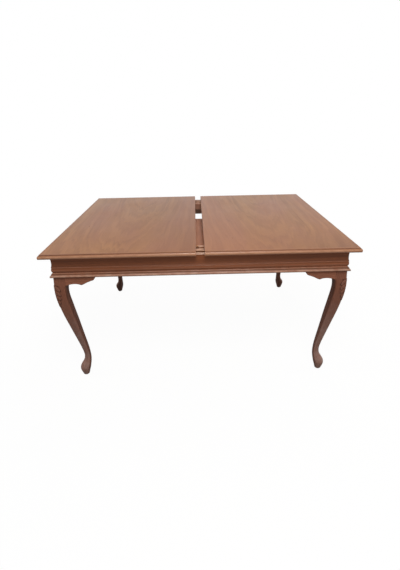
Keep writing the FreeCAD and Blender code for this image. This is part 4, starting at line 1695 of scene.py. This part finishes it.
@dataclass
class Studio:
    """Floor, light and the camera at the photograph's place."""

    eye: Point = (-0.0164, -1.8455, 1.3473)
    yaw: float = math.radians(-0.542)
    pitch: float = math.radians(27.361)
    roll: float = math.radians(1.108)
    focal_pixels: float = 316.37
    middle_row: float = 272.86
    image_height: int = 570
    sensor: float = 36.0
    clip: Pair = (0.01, 100.0)
    floor_reach: float = 30.0
    floor_tones: tuple[Colour, Colour] = ((0.90, 0.89, 0.88), (0.94, 0.93, 0.92))
    floor_patches: float = 3.0
    floor_white: float = 0.955
    floor_bounce: Colour = (0.12, 0.115, 0.11)
    floor_mirror: float = 0.5
    shadow_fade: Pair = (1.0, 2.0)
    sky_fade: Pair = (0.2, 0.37)
    sky_dim: float = 0.2
    ambient: float = 0.22
    ambient_colour: Colour = (1.0, 0.98, 0.96)
    lamps: tuple[Lamp, ...] = (
        Lamp("key", (0.12, -1.7, 2.76), 47.0, (0.0, -0.1, 0.7), 1.2, True),
        Lamp("top fill", (1.3, 1.5, 3.6), 24.0, (0.0, 0.2, 0.6), 1.8),
        Lamp("front fill", (0.7, -2.9, 1.0), 15.5),
        Lamp("back fill", (0.0, 3.1, 1.3), 34.0),
        Lamp("left fill", (-3.3, -0.2, 1.3), 28.0),
        Lamp("right fill", (3.3, -0.2, 1.3), 28.0),
    )

    def camera(self) -> None:
        """Camera with the place, turn and lens that fit the photograph."""
        data = bpy.data.cameras.new("camera")
        data.sensor_width = self.sensor
        data.lens = self.focal_pixels * self.sensor / self.image_height
        data.shift_y = (self.middle_row - self.image_height / 2.0) / self.image_height
        data.clip_start, data.clip_end = self.clip
        thing = new_object("camera", data)
        look = Matrix.Rotation(self.yaw, 3, "Z")
        ahead = look @ Vector((0.0, 1.0, 0.0))
        right = look @ Vector((1.0, 0.0, 0.0))
        upwards = Vector((0.0, 0.0, 1.0))
        tilt = Matrix.Rotation(-self.pitch, 3, right)
        ahead, upwards = tilt @ ahead, tilt @ upwards
        twist = Matrix.Rotation(self.roll, 3, ahead)
        right, upwards = twist @ right, twist @ upwards
        turn = Matrix((right, upwards, -ahead)).transposed().to_4x4()
        thing.matrix_world = Matrix.Translation(Vector(self.eye)) @ turn
        bpy.context.scene.camera = thing

    def floor(self) -> None:
        """Large pale floor with a soft shadow round the table, white further off and clear from below."""
        reach = self.floor_reach
        corners = [(-reach, -reach, 0.0), (reach, -reach, 0.0), (reach, reach, 0.0), (-reach, reach, 0.0)]
        mesh = bpy.data.meshes.new("floor")
        mesh.from_pydata(corners, [], [(0, 1, 2, 3)])
        thing = new_object("floor", mesh)
        material = bpy.data.materials.new("pale floor")
        wiring = Wiring.fresh(material)
        place = wiring.add("ShaderNodeTexCoord").outputs["Object"]
        pale = wiring.mix(wiring.noise(place, self.floor_patches, 3.0), *self.floor_tones)
        lit = wiring.add("ShaderNodeBsdfDiffuse", {"Color": pale}).outputs[0]
        white = wiring.add("ShaderNodeEmission", {"Color": WHITE, "Strength": 1.0}).outputs[0]
        share = wiring.ranged(wiring.length(place), *self.shadow_fade, self.floor_white, 1.0)
        shown = wiring.blend(share, lit, white)
        bounce = wiring.add("ShaderNodeBsdfDiffuse", {"Color": self.floor_bounce}).outputs[0]
        rays = wiring.add("ShaderNodeLightPath").outputs
        mirrored = wiring.maths("MULTIPLY", rays["Is Glossy Ray"], self.floor_mirror)
        seen = wiring.maths("MAXIMUM", rays["Is Camera Ray"], mirrored)
        seen = wiring.maths("MAXIMUM", seen, rays["Is Transmission Ray"])
        below = wiring.add("ShaderNodeNewGeometry").outputs["Backfacing"]
        clear = wiring.add("ShaderNodeBsdfTransparent").outputs[0]
        surface = wiring.blend(below, wiring.blend(seen, bounce, shown), clear)
        wiring.add("ShaderNodeOutputMaterial", {"Surface": surface})
        mesh.materials.append(material)

    def world(self) -> None:
        """White surroundings, dimmer overhead in reflections, and a soft light for the rest."""
        world = bpy.data.worlds.new("studio")
        bpy.context.scene.world = world
        wiring = Wiring.fresh(world)
        rays = wiring.add("ShaderNodeLightPath").outputs
        seen = wiring.maths("MAXIMUM", rays["Is Camera Ray"], rays["Is Transmission Ray"])
        upwards = wiring.add("ShaderNodeTexCoord").outputs["Object"]
        rise = wiring.add("ShaderNodeSeparateXYZ", {0: upwards}).outputs["Z"]
        glow = wiring.ranged(rise, *self.sky_fade, 1.0, self.sky_dim)
        soft, mirrored, white = (
            wiring.add("ShaderNodeBackground", {"Color": colour, "Strength": strength}).outputs[0]
            for colour, strength in ((self.ambient_colour, self.ambient), (WHITE, glow), (WHITE, 1.0))
        )
        unseen = wiring.blend(rays["Is Glossy Ray"], soft, mirrored)
        wiring.add("ShaderNodeOutputWorld", {"Surface": wiring.blend(seen, unseen, white)})

    def build(self) -> None:
        """Set up the whole studio."""
        bpy.context.scene.view_settings.view_transform = "Standard"
        self.camera()
        self.floor()
        self.world()
        for lamp in self.lamps:
            lamp.build()
        log.info("studio ready")


def main() -> None:
    """Build and dress every sub-assembly in order."""
    logging.basicConfig(level=logging.INFO, format="%(message)s")
    paint = Paint()
    screws = ScrewSet()
    Studio().build()
    for assembly in (TopHalves(), UnderFrame(), ButterflyLeaf()):
        assembly.dress(paint)
        assembly.build(paint, screws)
    leg = CarvedLeg()
    leg.build(paint)
    KneeBrackets(leg).build(paint)


if __name__ == "__main__":
    main()
